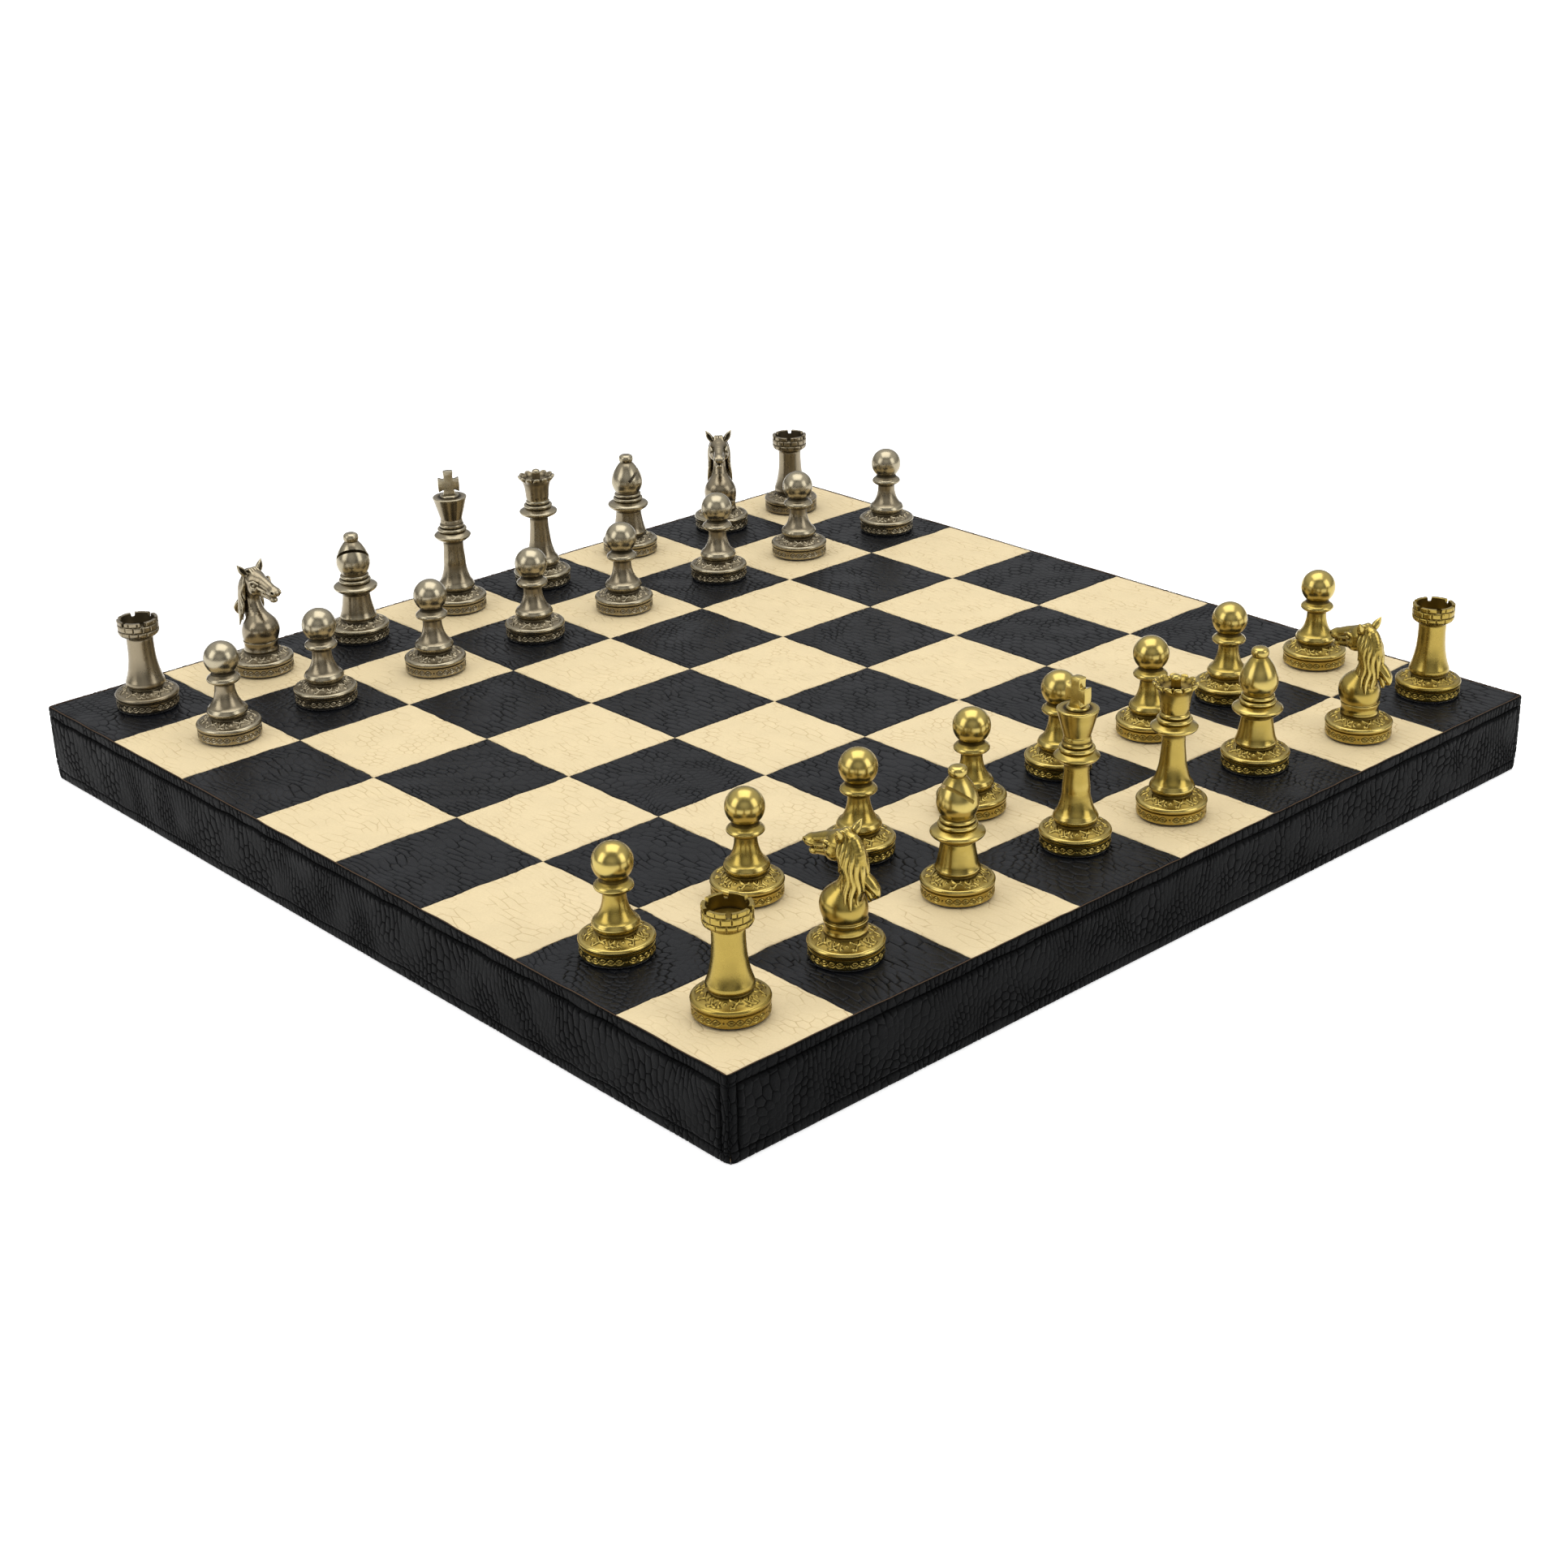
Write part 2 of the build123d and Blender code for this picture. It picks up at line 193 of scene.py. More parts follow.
def shade(mesh, sharp):
    """Smooth shading with edges sharper than the angle left crisp."""
    mesh.shade_smooth()
    mesh.set_sharp_from_angle(angle=radians(sharp))


def join_shells(*shells):
    """Several (points, quads, triangles) as one."""
    points, quads, triangles, base = [], [], [], 0
    for p, q, t in shells:
        points.append(p)
        quads.append(q + base)
        triangles.append(t + base)
        base += len(p)
    return np.concatenate(points), np.concatenate(quads), np.concatenate(triangles)


def shell_of(b):
    """The points, quads and triangles of a bmesh, which is cut into triangles and freed."""
    bmesh.ops.triangulate(b, faces=b.faces)
    b.verts.index_update()
    points = np.array([v.co for v in b.verts])
    triangles = np.array([[v.index for v in f.verts] for f in b.faces])
    b.free()
    return points, np.zeros((0, 4), int), triangles


def lathe(half, turns, shape=None):
    """A closed shell turned about Z. half runs up the outside from axis to axis as (r, z).

    shape may change the radii and heights of the rings, given them and the angles.
    """
    angles = np.arange(turns) * tau / turns
    rings = half[1:-1]
    radius = np.repeat(rings[:, :1], turns, 1)
    height = np.repeat(rings[:, 1:], turns, 1)
    turn = np.repeat(angles[None], len(rings), 0)
    if shape:
        radius, height = shape(radius, height, turn)
    around = np.stack([radius * np.cos(turn), radius * np.sin(turn), height], -1).reshape(-1, 3)
    poles = np.array([[0, 0, half[0][1]], [0, 0, half[-1][1]]])
    index = np.arange(len(around)).reshape(len(rings), turns)
    here, after = index, np.roll(index, -1, 1)
    quads = np.stack([here[:-1], after[:-1], after[1:], here[1:]], -1).reshape(-1, 4)
    low, high = len(around), len(around) + 1
    bottom = np.stack([after[0], here[0], np.full(turns, low)], -1)
    top = np.stack([here[-1], after[-1], np.full(turns, high)], -1)
    return np.concatenate([around, poles]), quads, np.concatenate([bottom, top])


def hollows(mesh, rounds, depth):
    """For each point, how deep it lies below its smoothed surroundings, from -1 proud to 1 sunk."""
    count = len(mesh.vertices)
    co, normal = np.zeros(count * 3), np.zeros(count * 3)
    mesh.vertices.foreach_get("co", co)
    mesh.vertices.foreach_get("normal", normal)
    ends = np.zeros(len(mesh.edges) * 2, np.int32)
    mesh.edges.foreach_get("vertices", ends)
    co, normal, ends = co.reshape(-1, 3) / MM, normal.reshape(-1, 3), ends.reshape(-1, 2)
    a, b = np.concatenate([ends[:, 0], ends[:, 1]]), np.concatenate([ends[:, 1], ends[:, 0]])
    shares = 1.0 / np.maximum(np.bincount(a, minlength=count), 1)
    smooth = co.copy()
    for _ in range(rounds):
        near = np.stack([np.bincount(a, smooth[b, k], count) * shares for k in range(3)], -1)
        smooth = 0.4 * smooth + 0.6 * near
    return np.clip(((smooth - co) * normal).sum(1) / depth, -1, 1)


def add_hollows(mesh, extra=None):
    """Stores how sunk each point is, at a fine and at a broad scale, as the layer 'hollow', with extra
    darkening where given: patina in the ledge's scrollwork and painted shade at the neck and in the rook's
    cup.
    """
    value = 0.75 * hollows(mesh, 5, 0.05) + 0.75 * hollows(mesh, 45, 0.5)
    if extra is not None:
        value = np.maximum(value, extra)
    layer = mesh.attributes.get("hollow") or mesh.attributes.new("hollow", "FLOAT", "POINT")
    layer.data.foreach_set("value", np.clip(value, -1, 1).astype(np.float32))


def add_piece(name, mesh, material, body, stands_for=(), place=None):
    """Puts a finished mesh into the scene as a piece of the object."""
    if not mesh.materials:
        mesh.materials.append(material)
    piece = bpy.data.objects.new(name, mesh)
    bpy.context.scene.collection.objects.link(piece)
    if place is not None:
        piece.matrix_world = place
    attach(piece, body)
    if stands_for:
        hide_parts(*stands_for)
    return piece


# ---------------------------------------------------------------- materials
class Nodes:
    """Short calls to add the nodes of a tree and wire them."""

    def __init__(self, tree):
        self.tree = tree

    def add(self, kind, inputs=None, **settings):
        node = self.tree.nodes.new(kind)
        for key, value in settings.items():
            setattr(node, key, value)
        for key, value in (inputs or {}).items():
            self.put(node.inputs[key], value)
        return node

    def put(self, socket, value):
        if isinstance(value, bpy.types.NodeSocket):
            self.tree.links.new(value, socket)
        else:
            socket.default_value = value

    def math(self, operation, a, b=0.0):
        return self.add("ShaderNodeMath", {0: a, 1: b}, operation=operation).outputs[0]

    def spread(self, value, low, high, to_low=0.0, to_high=1.0, **settings):
        """A number carried from one range to another."""
        inputs = {"Value": value, "From Min": low, "From Max": high, "To Min": to_low, "To Max": to_high}
        return self.add("ShaderNodeMapRange", inputs, clamp=True, **settings).outputs[0]

    def ramp(self, share, *stops):
        """A colour that follows share through (place, colour) stops."""
        node = self.add("ShaderNodeValToRGB", {"Fac": share})
        elements = node.color_ramp.elements
        while len(elements) < len(stops):
            elements.new(0.5)
        for element, (place, colour) in zip(elements, stops):
            element.position, element.color = place, (*colour, 1)
        return node.outputs["Color"]

    def mix(self, share, first, second):
        node = self.add("ShaderNodeMix", data_type="RGBA")
        self.put(node.inputs["Factor"], share)
        for key, colour in ((6, first), (7, second)):
            self.put(node.inputs[key], (*colour, 1) if isinstance(colour, tuple) else colour)
        return node.outputs[2]


class Shader(Nodes):
    """A Principled material."""

    def __init__(self, name, **values):
        self.material = bpy.data.materials.new(name)
        self.material.use_nodes = True
        super().__init__(self.material.node_tree)
        self.surface = self.tree.nodes["Principled BSDF"]
        for key, value in values.items():
            self.surface.inputs[key.replace("_", " ")].default_value = value
        self.space = self.add("ShaderNodeTexCoord").outputs["Object"]

    def set(self, key, value):
        self.put(self.surface.inputs[key], value)

    def layer(self, name):
        """A layer of numbers that the mesh holds."""
        return self.add("ShaderNodeAttribute", attribute_name=name).outputs["Fac"]

    def noise(self, size, detail=3.0, rough=0.55, space=None):
        """Noise from 0 to 1 with humps about size millimetres across."""
        place = {"Vector": space or self.space, "Scale": 1 / (size * MM)}
        return self.add("ShaderNodeTexNoise", place | {"Detail": detail, "Roughness": rough}).outputs["Fac"]

    def bump(self, height, depth, below=None):
        """Fine relief, its depth in millimetres, over any relief below."""
        inputs = {"Height": height, "Distance": depth * MM, "Strength": 1.0}
        if below:
            inputs["Normal"] = below
        return self.add("ShaderNodeBump", inputs).outputs["Normal"]


def cast_metal(name, worn, plain, dark, soot_and_shade, gloss):
    """Plated casting: bright where it is rubbed, dark antiquing left in the hollows, and painted shade where
    the hollow layer carries it at the neck and in the rook's cup.
    """
    s = Shader(name, Metallic=1.0, IOR=1.5)
    hollow = s.layer("hollow")
    cloud, grain = s.noise(6, 2), s.noise(0.9, 4, 0.6)
    depth = s.math("ADD", hollow, s.spread(cloud, 0.3, 0.7, -0.1, 0.1))
    depth = s.math("ADD", depth, s.spread(grain, 0.3, 0.7, -0.05, 0.05))
    stops = ((0.0, worn), (0.36, plain), (0.56, plain), (0.78, dark), (1.0, soot_and_shade))
    tone = s.ramp(s.spread(depth, -1, 1), *stops)
    tarnish = s.spread(s.noise(11, 3, 0.65), 0.45, 0.75, 0, 0.35)
    s.set("Base Color", s.mix(s.math("MULTIPLY", tarnish, 0.5), tone, dark))
    dull = s.spread(depth, -0.1, 0.9, gloss, gloss + 0.3)
    s.set("Roughness", s.math("ADD", dull, s.spread(s.noise(2.5, 3), 0.3, 0.7, -0.03, 0.03)))
    s.set("Normal", s.bump(s.noise(0.5, 3, 0.6), 0.002, s.bump(s.noise(4, 2), 0.018)))
    return s.material


def scaled_leather(name, face, shadow, cut, gloss, shade_depth, shine):
    """Leather pressed with a reptile grain, with painted shade in its creases, raw where it was cut."""
    s = Shader(name, IOR=1.45, Specular_IOR_Level=shine)
    crease = s.layer("crease")
    cloud = s.noise(14, 3)
    tone = s.mix(s.spread(cloud, 0.35, 0.65, 0, 1), face, tuple(c * shade_depth for c in face))
    fleck = s.spread(s.noise(0.7, 4, 0.7), 0.35, 0.75, 0, 0.25)
    tone = s.mix(fleck, tone, shadow)
    # Painted shade: the crease layer darkens the creases, seams and pressed lines toward the shadow colour.
    tone = s.mix(s.spread(crease, 0.15, 1.0), tone, shadow)
    tone = s.mix(s.spread(s.layer("cut"), 0.45, 0.6), tone, cut)
    s.set("Base Color", tone)
    dull = s.spread(crease, 0, 1, gloss, gloss + 0.25)
    s.set("Roughness", s.math("ADD", dull, s.spread(cloud, 0.3, 0.7, -0.05, 0.05)))
    pores = s.add("ShaderNodeTexVoronoi", {"Vector": s.space, "Scale": 1 / (0.45 * MM)}).outputs["Distance"]
    s.set("Normal", s.bump(pores, 0.03, s.bump(s.noise(1.6, 4, 0.6), 0.1)))
    return s.material


def felt_material(name, colour):
    """Pressed felt: short tangled fibres and a soft sheen."""
    s = Shader(name, Sheen_Weight=0.6, Sheen_Roughness=0.5, Roughness=0.95)
    fibres = s.noise(0.35, 5, 0.75)
    shaded, lit = (tuple(c * share for c in colour) for share in (0.5, 1.5))
    s.set("Base Color", s.ramp(fibres, (0.25, shaded), (0.75, lit)))
    s.set("Normal", s.bump(fibres, 0.25))
    return s.material


def board_material(name, light, dark, size, stretch):
    """Wood or fibreboard: drawn-out fibres along X."""
    s = Shader(name, Roughness=0.75)
    space = s.add("ShaderNodeMapping", {"Vector": s.space, "Scale": (1 / stretch, 1.0, 1.0)}).outputs[0]
    grain = s.noise(size, 5, 0.65, space)
    s.set("Base Color", s.ramp(grain, (0.3, dark), (0.7, light)))
    s.set("Normal", s.bump(grain, 0.15))
    return s.material


GOLD = cast_metal(
    "gold_casting",
    worn=(0.46, 0.355, 0.108), plain=(0.34, 0.248, 0.058), dark=(0.19, 0.13, 0.03),
    soot_and_shade=(0.032, 0.02, 0.004), gloss=0.24,
)
SILVER = cast_metal(
    "silver_casting",
    worn=(0.36, 0.315, 0.22), plain=(0.245, 0.205, 0.138), dark=(0.145, 0.118, 0.072),
    soot_and_shade=(0.024, 0.019, 0.011), gloss=0.26,
)
IVORY_LEATHER = scaled_leather(
    "ivory_scaled_leather", face=(0.72, 0.59, 0.355), shadow=(0.5, 0.375, 0.2), cut=(0.3, 0.2, 0.11),
    gloss=0.55, shade_depth=0.95, shine=0.3,
)
BLACK_LEATHER = scaled_leather(
    "black_scaled_leather", face=(0.006, 0.0068, 0.009), shadow=(0.001, 0.001, 0.0012),
    cut=(0.02, 0.014, 0.01), gloss=0.33, shade_depth=0.75, shine=0.16,
)
SIDE_LEATHER = scaled_leather(
    "black_side_leather", face=(0.0022, 0.0024, 0.0027), shadow=(0.0006, 0.0006, 0.0006),
    cut=(0.08, 0.05, 0.03), gloss=0.42, shade_depth=0.7, shine=0.05,
)
FELT_BLACK = felt_material("black_felt", (0.012, 0.012, 0.014))
FIBREBOARD = board_material("fibreboard_panel", (0.42, 0.29, 0.17), (0.27, 0.17, 0.09), 1.2, 2)
PINE = board_material("pine_rail", (0.68, 0.48, 0.26), (0.5, 0.31, 0.14), 2.0, 14)
METALS = {"gold": GOLD, "silver": SILVER}


# ---------------------------------------------------------------- ornament of the feet
def strokes_to_segments(strokes, steps=5):
    """Smooth strokes of (x, y, half width) as straight segments with both ends."""
    ends = []
    for stroke in strokes:
        path = curve(stroke, steps) if len(stroke) > 1 else np.array([stroke[0], stroke[0]], float)
        ends.append(np.concatenate([path[:-1], path[1:]], 1))
    return np.concatenate(ends)


def relief(x, y, segments):
    """Rounded relief from 0 to 1 along segments of (x, y, half width, x, y, half width)."""
    height = np.zeros_like(x)
    for ax, ay, aw, bx, by, bw in segments:
        dx, dy = bx - ax, by - ay
        length = max(dx * dx + dy * dy, 1e-9)
        t = np.clip(((x - ax) * dx + (y - ay) * dy) / length, 0, 1)
        far = np.hypot(x - ax - t * dx, y - ay - t * dy) / (aw + t * (bw - aw) + 0.17)
        height = np.maximum(height, np.clip(1 - far * far, 0, 1) ** 1.3)
    return height


# Scrollwork of one repeat on the ledge, as degrees round, millimetres in from the rim, half width:
# a berry, a hooked stem that forks into leaves on one side, a bud and a leafy stem on the other.
LEDGE_SCROLLS = [
    [(0, 2.4, 0.52)],
    [(11, 1.3, 0.3), (12.5, 0.7, 0.36), (16, 0.8, 0.28), (18.5, 1.6, 0.22), (22, 2.3, 0.24),
     (28, 2.5, 0.3), (34, 2.0, 0.1)],
    [(22, 2.4, 0.16), (17, 2.9, 0.34), (12, 3.4, 0.28), (8, 3.9, 0.08)],
    [(26, 2.6, 0.12), (30, 3.1, 0.3), (32, 3.9, 0.08)],
    [(-7, 0.9, 0.12), (-10.5, 1.2, 0.4), (-12, 2.0, 0.3), (-10, 2.9, 0.1)],
    [(-14, 0.6, 0.1), (-18, 0.8, 0.3), (-23, 1.2, 0.24), (-27, 2.1, 0.22), (-30, 3.1, 0.26),
     (-29, 4.0, 0.08)],
    [(-23, 1.2, 0.14), (-28, 0.7, 0.34), (-34, 1.0, 0.08)],
    [(-26, 1.9, 0.12), (-21, 2.4, 0.32), (-17, 3.4, 0.08)],
]
# Half of one repeat of the lines cut into the band: two crossing waves with a slip in each eye,
# and a dot where the repeats meet. As degrees round, millimetres up the band, half width.
BAND_WAVES = [
    [(5 + 1.55 * i, 1.5 + side * 0.85 * sin(i * pi / 8), 0.13) for i in range(21)] for side in (-1, 1)
]
BAND_SLIPS = [[(x - 2.2, 1.5, 0.06), (x, 1.5, 0.2), (x + 2.2, 1.5, 0.06)] for x in (11.2, 23.6, 36)]
BAND_STROKES = [[(0, 1.5, 0.34)], *BAND_WAVES, *BAND_SLIPS]


def ledge_relief(radius, turn):
    """Height from 0 to 1 of the scrollwork at points of the ledge, seen from above."""
    own = np.radians(np.degrees(turn) % ORNAMENT_TURN)
    copies = []
    for stroke in LEDGE_SCROLLS:
        for shift in (-ORNAMENT_TURN, 0, ORNAMENT_TURN):
            polar = [(radians(a + shift), 11.1 - inward, w) for a, inward, w in stroke]
            copies.append([(r * cos(a), r * sin(a), w) for a, r, w in polar])
    return relief(radius * np.cos(own), radius * np.sin(own), strokes_to_segments(copies))


def band_relief(up, turn):
    """Depth from 0 to 1 of the strokes cut into the band, mirrored about each dot."""
    own = np.degrees(turn) % ORNAMENT_TURN
    own = np.minimum(own, ORNAMENT_TURN - own)
    to_mm = radians(1) * (FOOT_RADIUS - 0.25)
    strokes = [[(a * to_mm, z, w) for a, z, w in stroke] for stroke in BAND_STROKES]
    return relief(own * to_mm, up, strokes_to_segments(strokes))


SCROLL_HEIGHT = 0.38
LEDGE = curve([(11.15, 6.45), (10.2, 6.72), (9.0, 7.2), (8.0, 7.65), (NECK_RADIUS, 8.1)], 7)


def foot():
    """The round foot of every man: engraved band, groove, rounded rim, ledge with scrolls, neck."""
    band, groove, band_low, band_high = FOOT_RADIUS - 0.25, FOOT_RADIUS - 0.75, FELT + 0.5, 4.05
    rim_end, ledge_end = tuple(LEDGE[0]), tuple(LEDGE[-1])
    half = outline(
        line((0, FELT), (band - 0.6, FELT), 2),
        arc((band - 0.6, FELT), (band - 0.15, FELT + 0.15), (band, band_low), 3),
        line((band, band_low), (band, band_high), 17),
        curve([(band, band_high), (groove, 4.3), (groove + 0.1, 4.45)], 2),
        arc((groove + 0.1, 4.45), (FOOT_RADIUS, 5.35), rim_end, 9),
        LEDGE,
        curve([ledge_end, (NECK_RADIUS - 0.15, 8.5), (NECK_RADIUS, NECK_HEIGHT)], 3),
        line((NECK_RADIUS, NECK_HEIGHT), (0, NECK_HEIGHT), 2),
    )
    turns = 400

    def carve(radius, height, turn):
        row_r, row_z = half[1:-1, 0], half[1:-1, 1]
        period = turns // ORNAMENTS
        on_ledge = (row_z > 6.3) & (row_z < 8.2) & (row_r > NECK_RADIUS - 0.1)
        part = ledge_relief(radius[on_ledge, :period], turn[on_ledge, :period])
        fade = smoothstep(row_r[on_ledge], NECK_RADIUS, NECK_RADIUS + 0.5)[:, None]
        height[on_ledge] += np.tile(part * fade, ORNAMENTS) * SCROLL_HEIGHT
        on_band = (row_r > band - 0.05) & (row_z < 4.2)
        cut = band_relief(height[on_band, :period] - band_low, turn[on_band, :period])
        radius[on_band] -= np.tile(cut, ORNAMENTS) * 0.22
        return radius, height

    return lathe(half, turns, carve)


# ---------------------------------------------------------------- figures
def ring(inner, low, radius, middle, high, steps=6, top=None):
    """A rounded ring round a stem, from its lower to its upper corner."""
    return arc((inner, low), (radius, middle), (inner if top is None else top, high), steps * 2)


def skirt(bulge, bulge_height):
    """The rounded skirt that each stem stands on, from the axis to above its bulge."""
    start = (bulge - 1.3, NECK_HEIGHT - 0.35)
    return outline(
        line((0, NECK_HEIGHT - 0.35), start, 2),
        curve([start, (bulge - 0.35, NECK_HEIGHT + 0.35), (bulge, bulge_height), (bulge - 0.6, 12)], 5),
    )


def pawn():
    """Stem, collar and ball."""
    ball_radius, ball_middle, neck = 6.6, 31.2, 4.3
    start = -sqrt(ball_radius**2 - neck**2)
    return lathe(
        outline(
            skirt(7.7, 10.7),
            curve([(7.1, 12), (6.0, 13), (4.85, 15), (4.2, 17), (3.8, 19.2), (3.75, 21.6)], 6),
            curve([(3.75, 21.6), (5.0, 21.9), (6.1, 22.7), (6.3, 23.4), (5.9, 24.1), (4.9, 24.9)], 4),
            curve([(4.9, 24.9), (4.45, 25.4), (neck, ball_middle + start)], 3),
            [(ball_radius * cos(a), ball_middle + ball_radius * sin(a))
             for a in np.linspace(atan2(start, neck), pi / 2 - 0.02, 30)],
            [(0, ball_middle + ball_radius)],
        ),
        112,
    )


def rook():
    """A tower with a walled top of engraved bricks, hollow inside, and six gaps in the wall."""
    outer, inner, rim, floor, gap_floor = 7.85, 6.45, 36.0, 31.4, 34.35
    gaps, gap_half, bricks, joint_half, joint_depth = 6, 0.85, 14, 0.17, 0.3
    courses = (34.35, 31.95)
    rows = ((30.9, 31.7, 5), (31.7, 32.2, 4), (32.2, 34.1, 8), (34.1, 34.6, 4), (34.6, rim - 0.15, 6))
    wall = outline(
        curve([(5.15, 28.3), (5.6, 28.75), (6.6, 29.35), (7.45, 30.0), (outer, 30.9)], 6),
        *(line((outer, low), (outer, high), steps) for low, high, steps in rows),
        line((outer, rim - 0.15), (outer - 0.15, rim), 1),
        line((outer - 0.15, rim), (inner + 0.15, rim), 5),
        line((inner + 0.15, rim), (inner, rim - 0.15), 1),
        line((inner, rim - 0.15), (inner, floor + 0.3), 10),
        curve([(inner, floor + 0.3), (inner - 0.3, floor), (3.0, floor - 0.1), (0, floor - 0.15)], 4),
    )

    def carve(radius, height, turn):
        from_gap = (np.degrees(turn) - 15 + 180 / gaps) % (360 / gaps) - 180 / gaps
        beside_gap = np.abs(np.radians(from_gap)) * outer
        in_gap = 1 - smoothstep(beside_gap, gap_half - 0.06, gap_half + 0.08)
        height = height - np.maximum(height - gap_floor, 0) * in_gap
        course = (height < courses[0]).astype(int) + (height < courses[1])
        brick = 360 / bricks
        shift = np.where(course == 1, brick / 2, 0) + 15 - brick / 4
        beside_joint = np.abs(np.radians((np.degrees(turn) - shift + brick / 2) % brick - brick / 2)) * outer
        beside_course = np.minimum(np.abs(height - courses[0]), np.abs(height - courses[1]))
        outside = (radius > 5.6) & (radius > inner + 0.4) | (height < 30.5) & (radius > 5.25)
        joint = np.minimum(np.where(height > 29.0, beside_joint, 9), beside_course)
        joint = np.minimum(joint, np.abs(height - 29.15) * 1.4)
        groove = np.sqrt(np.clip(1 - (joint / (joint_half * 1.5)) ** 2, 0, 1)) * outside
        pillow = smoothstep(joint, 0.1, 0.8) * outside * 0.06
        return radius - groove * joint_depth + pillow - 0.06 * outside, height

    trunk = lathe(
        outline(
            line((0, NECK_HEIGHT - 0.3), (6.6, NECK_HEIGHT - 0.3), 2),
            curve([(6.6, NECK_HEIGHT - 0.3), (7.3, 9.2), (7.55, 9.9), (7.4, 10.9)], 4),
            curve([(7.4, 10.9), (6.85, 12.4), (6.25, 14.5), (5.75, 17), (5.35, 20), (5.15, 24),
                   (5.15, 28.3)], 6),
            line((5.15, 28.3), (4.9, 28.8), 1),
            line((4.9, 28.8), (0, 28.8), 2),
        ),
        112,
    )
    crown = lathe(np.concatenate([[(0, 28.3)], wall]), 420, carve)
    return join_shells(trunk, crown)


def bishop():
    """Cone, wide collar, two rings and a slotted mitre with a button."""
    return cut_slot(lathe(
        outline(
            line((0, NECK_HEIGHT - 0.3), (6.7, NECK_HEIGHT - 0.3), 2),
            curve([(6.7, NECK_HEIGHT - 0.3), (7.35, 9.1), (7.5, 9.8), (7.15, 10.7)], 4),
            curve([(7.15, 10.7), (6.75, 12), (6.15, 15), (5.75, 17.5), (5.6, 19.3)], 6),
            curve([(5.6, 19.3), (6.2, 19.7), (8.2, 21.0), (9.0, 22.1), (8.6, 22.9), (6.9, 23.8),
                   (5.9, 24.2)], 5),
            ring(5.9, 24.2, 6.6, 24.95, 25.75, 4),
            ring(5.3, 26.0, 5.95, 26.8, 27.6, 4),
            curve([(5.3, 27.6), (5.5, 28.3), (6.3, 29.8), (6.85, 31.7), (6.85, 33.2), (6.5, 35.0),
                   (5.75, 37.0), (4.75, 38.8), (3.7, 40.3), (2.9, 41.2)], 4),
            curve([(2.9, 41.2), (2.7, 41.5), (3.0, 42.1), (3.15, 43.1), (2.85, 44.2), (1.9, 44.85),
                   (0.7, 45.0)], 4),
            [(0, 45.0)],
        ),
        120,
    ))


def cut_slot(shell):
    """Cuts the bishop's slanting slot, which rises from the axis through the front of the mitre."""
    mesh = build_mesh("whole_head", *shell)
    width, tilt, start = 1.25, 42, 34.0
    box = bmesh.new()
    bmesh.ops.create_cube(box, size=1)
    turn = Matrix.Rotation(radians(-tilt), 4, "Y")
    size = Matrix.Diagonal((14 * MM, 16 * MM, width * MM, 1))
    shift = Matrix.Translation((7 * MM, 0, 0))
    place = Matrix.Translation((-0.4 * MM, 0, start * MM)) @ turn @ shift @ size
    bmesh.ops.transform(box, matrix=place, verts=box.verts)
    cutter_mesh = bpy.data.meshes.new("slot_cutter")
    box.to_mesh(cutter_mesh)
    box.free()
    cutter = bpy.data.objects.new("slot_cutter", cutter_mesh)
    head = bpy.data.objects.new("slotted_head", mesh)
    for o in (cutter, head):
        bpy.context.scene.collection.objects.link(o)
    cut = head.modifiers.new("slot", "BOOLEAN")
    cut.object, cut.operation, cut.solver = cutter, "DIFFERENCE", "EXACT"
    slotted = bpy.data.meshes.new_from_object(head.evaluated_get(bpy.context.evaluated_depsgraph_get()))
    for o in (cutter, head):
        bpy.data.objects.remove(o)
    b = bmesh.new()
    b.from_mesh(slotted)
    points, quads, triangles = shell_of(b)
    return points / MM, quads, triangles


def crowned_stem(bulge, waist, collar_radius):
    """What the king and the queen share below their crowns: skirt, stem, collar and two rings."""
    return outline(
        skirt(bulge, 10.6),
        curve([(bulge - 0.6, 12), (6.35, 13.2), (5.65, 15), (4.8, 18.5), (waist + 0.45, 22),
               (waist + 0.1, 26), (waist, 30.1)], 6),
        curve([(waist, 30.1), (waist + 1.4, 30.4), (collar_radius - 0.6, 31.5), (collar_radius, 32.4),
               (collar_radius - 0.35, 33.0), (6.2, 33.9), (5.3, 34.3)], 5),
        ring(5.3, 34.3, 6.15, 35.15, 35.9, 4, top=5.0),
        ring(4.75, 36.1, 5.1, 36.9, 37.7, 4, top=4.75),
    )


def queen():
    """A crown with a scalloped rim, dished inside, and a short finial."""
    rim, petals = 7.6, 12

    def scallop(radius, height, turn):
        petal = np.abs(np.sin(turn * petals / 2))
        near_rim = smoothstep(height, 45.6, 48.0) * smoothstep(radius, 5.0, 6.4)
        notch = (1 - petal) ** 1.6
        radius = radius * (1 - 0.12 * notch * near_rim) + 0.25 * petal * near_rim
        return radius, height - 0.8 * notch * near_rim * smoothstep(radius, 5.6, 6.8)

    lower = lathe(outline(crowned_stem(7.8, 3.95, 8.15), line((4.75, 37.7), (0, 37.7), 2)), 112)
    crown = lathe(
        outline(
            line((0, 37.4), (4.5, 37.4), 2),
            curve([(4.5, 37.4), (4.8, 38.2), (5.0, 39.4), (5.1, 41.0), (5.35, 43.2), (5.9, 45.2),
                   (6.8, 46.6)], 6),
            curve([(6.8, 46.6), (7.4, 47.3), (rim, 48.1), (7.3, 48.6), (6.6, 48.4)], 5),
            curve([(6.6, 48.4), (5.9, 47.6), (4.8, 46.7), (3.0, 46.3), (1.75, 46.3)], 5),
            curve([(1.75, 46.3), (1.65, 48.4), (1.75, 49.6)], 4),
            curve([(1.75, 49.6), (1.6, 50.5), (0.9, 51.0), (0.3, 51.0)], 3),
            [(0, 51.0)],
        ),
        240,
        scallop,
    )
    return join_shells(lower, crown)


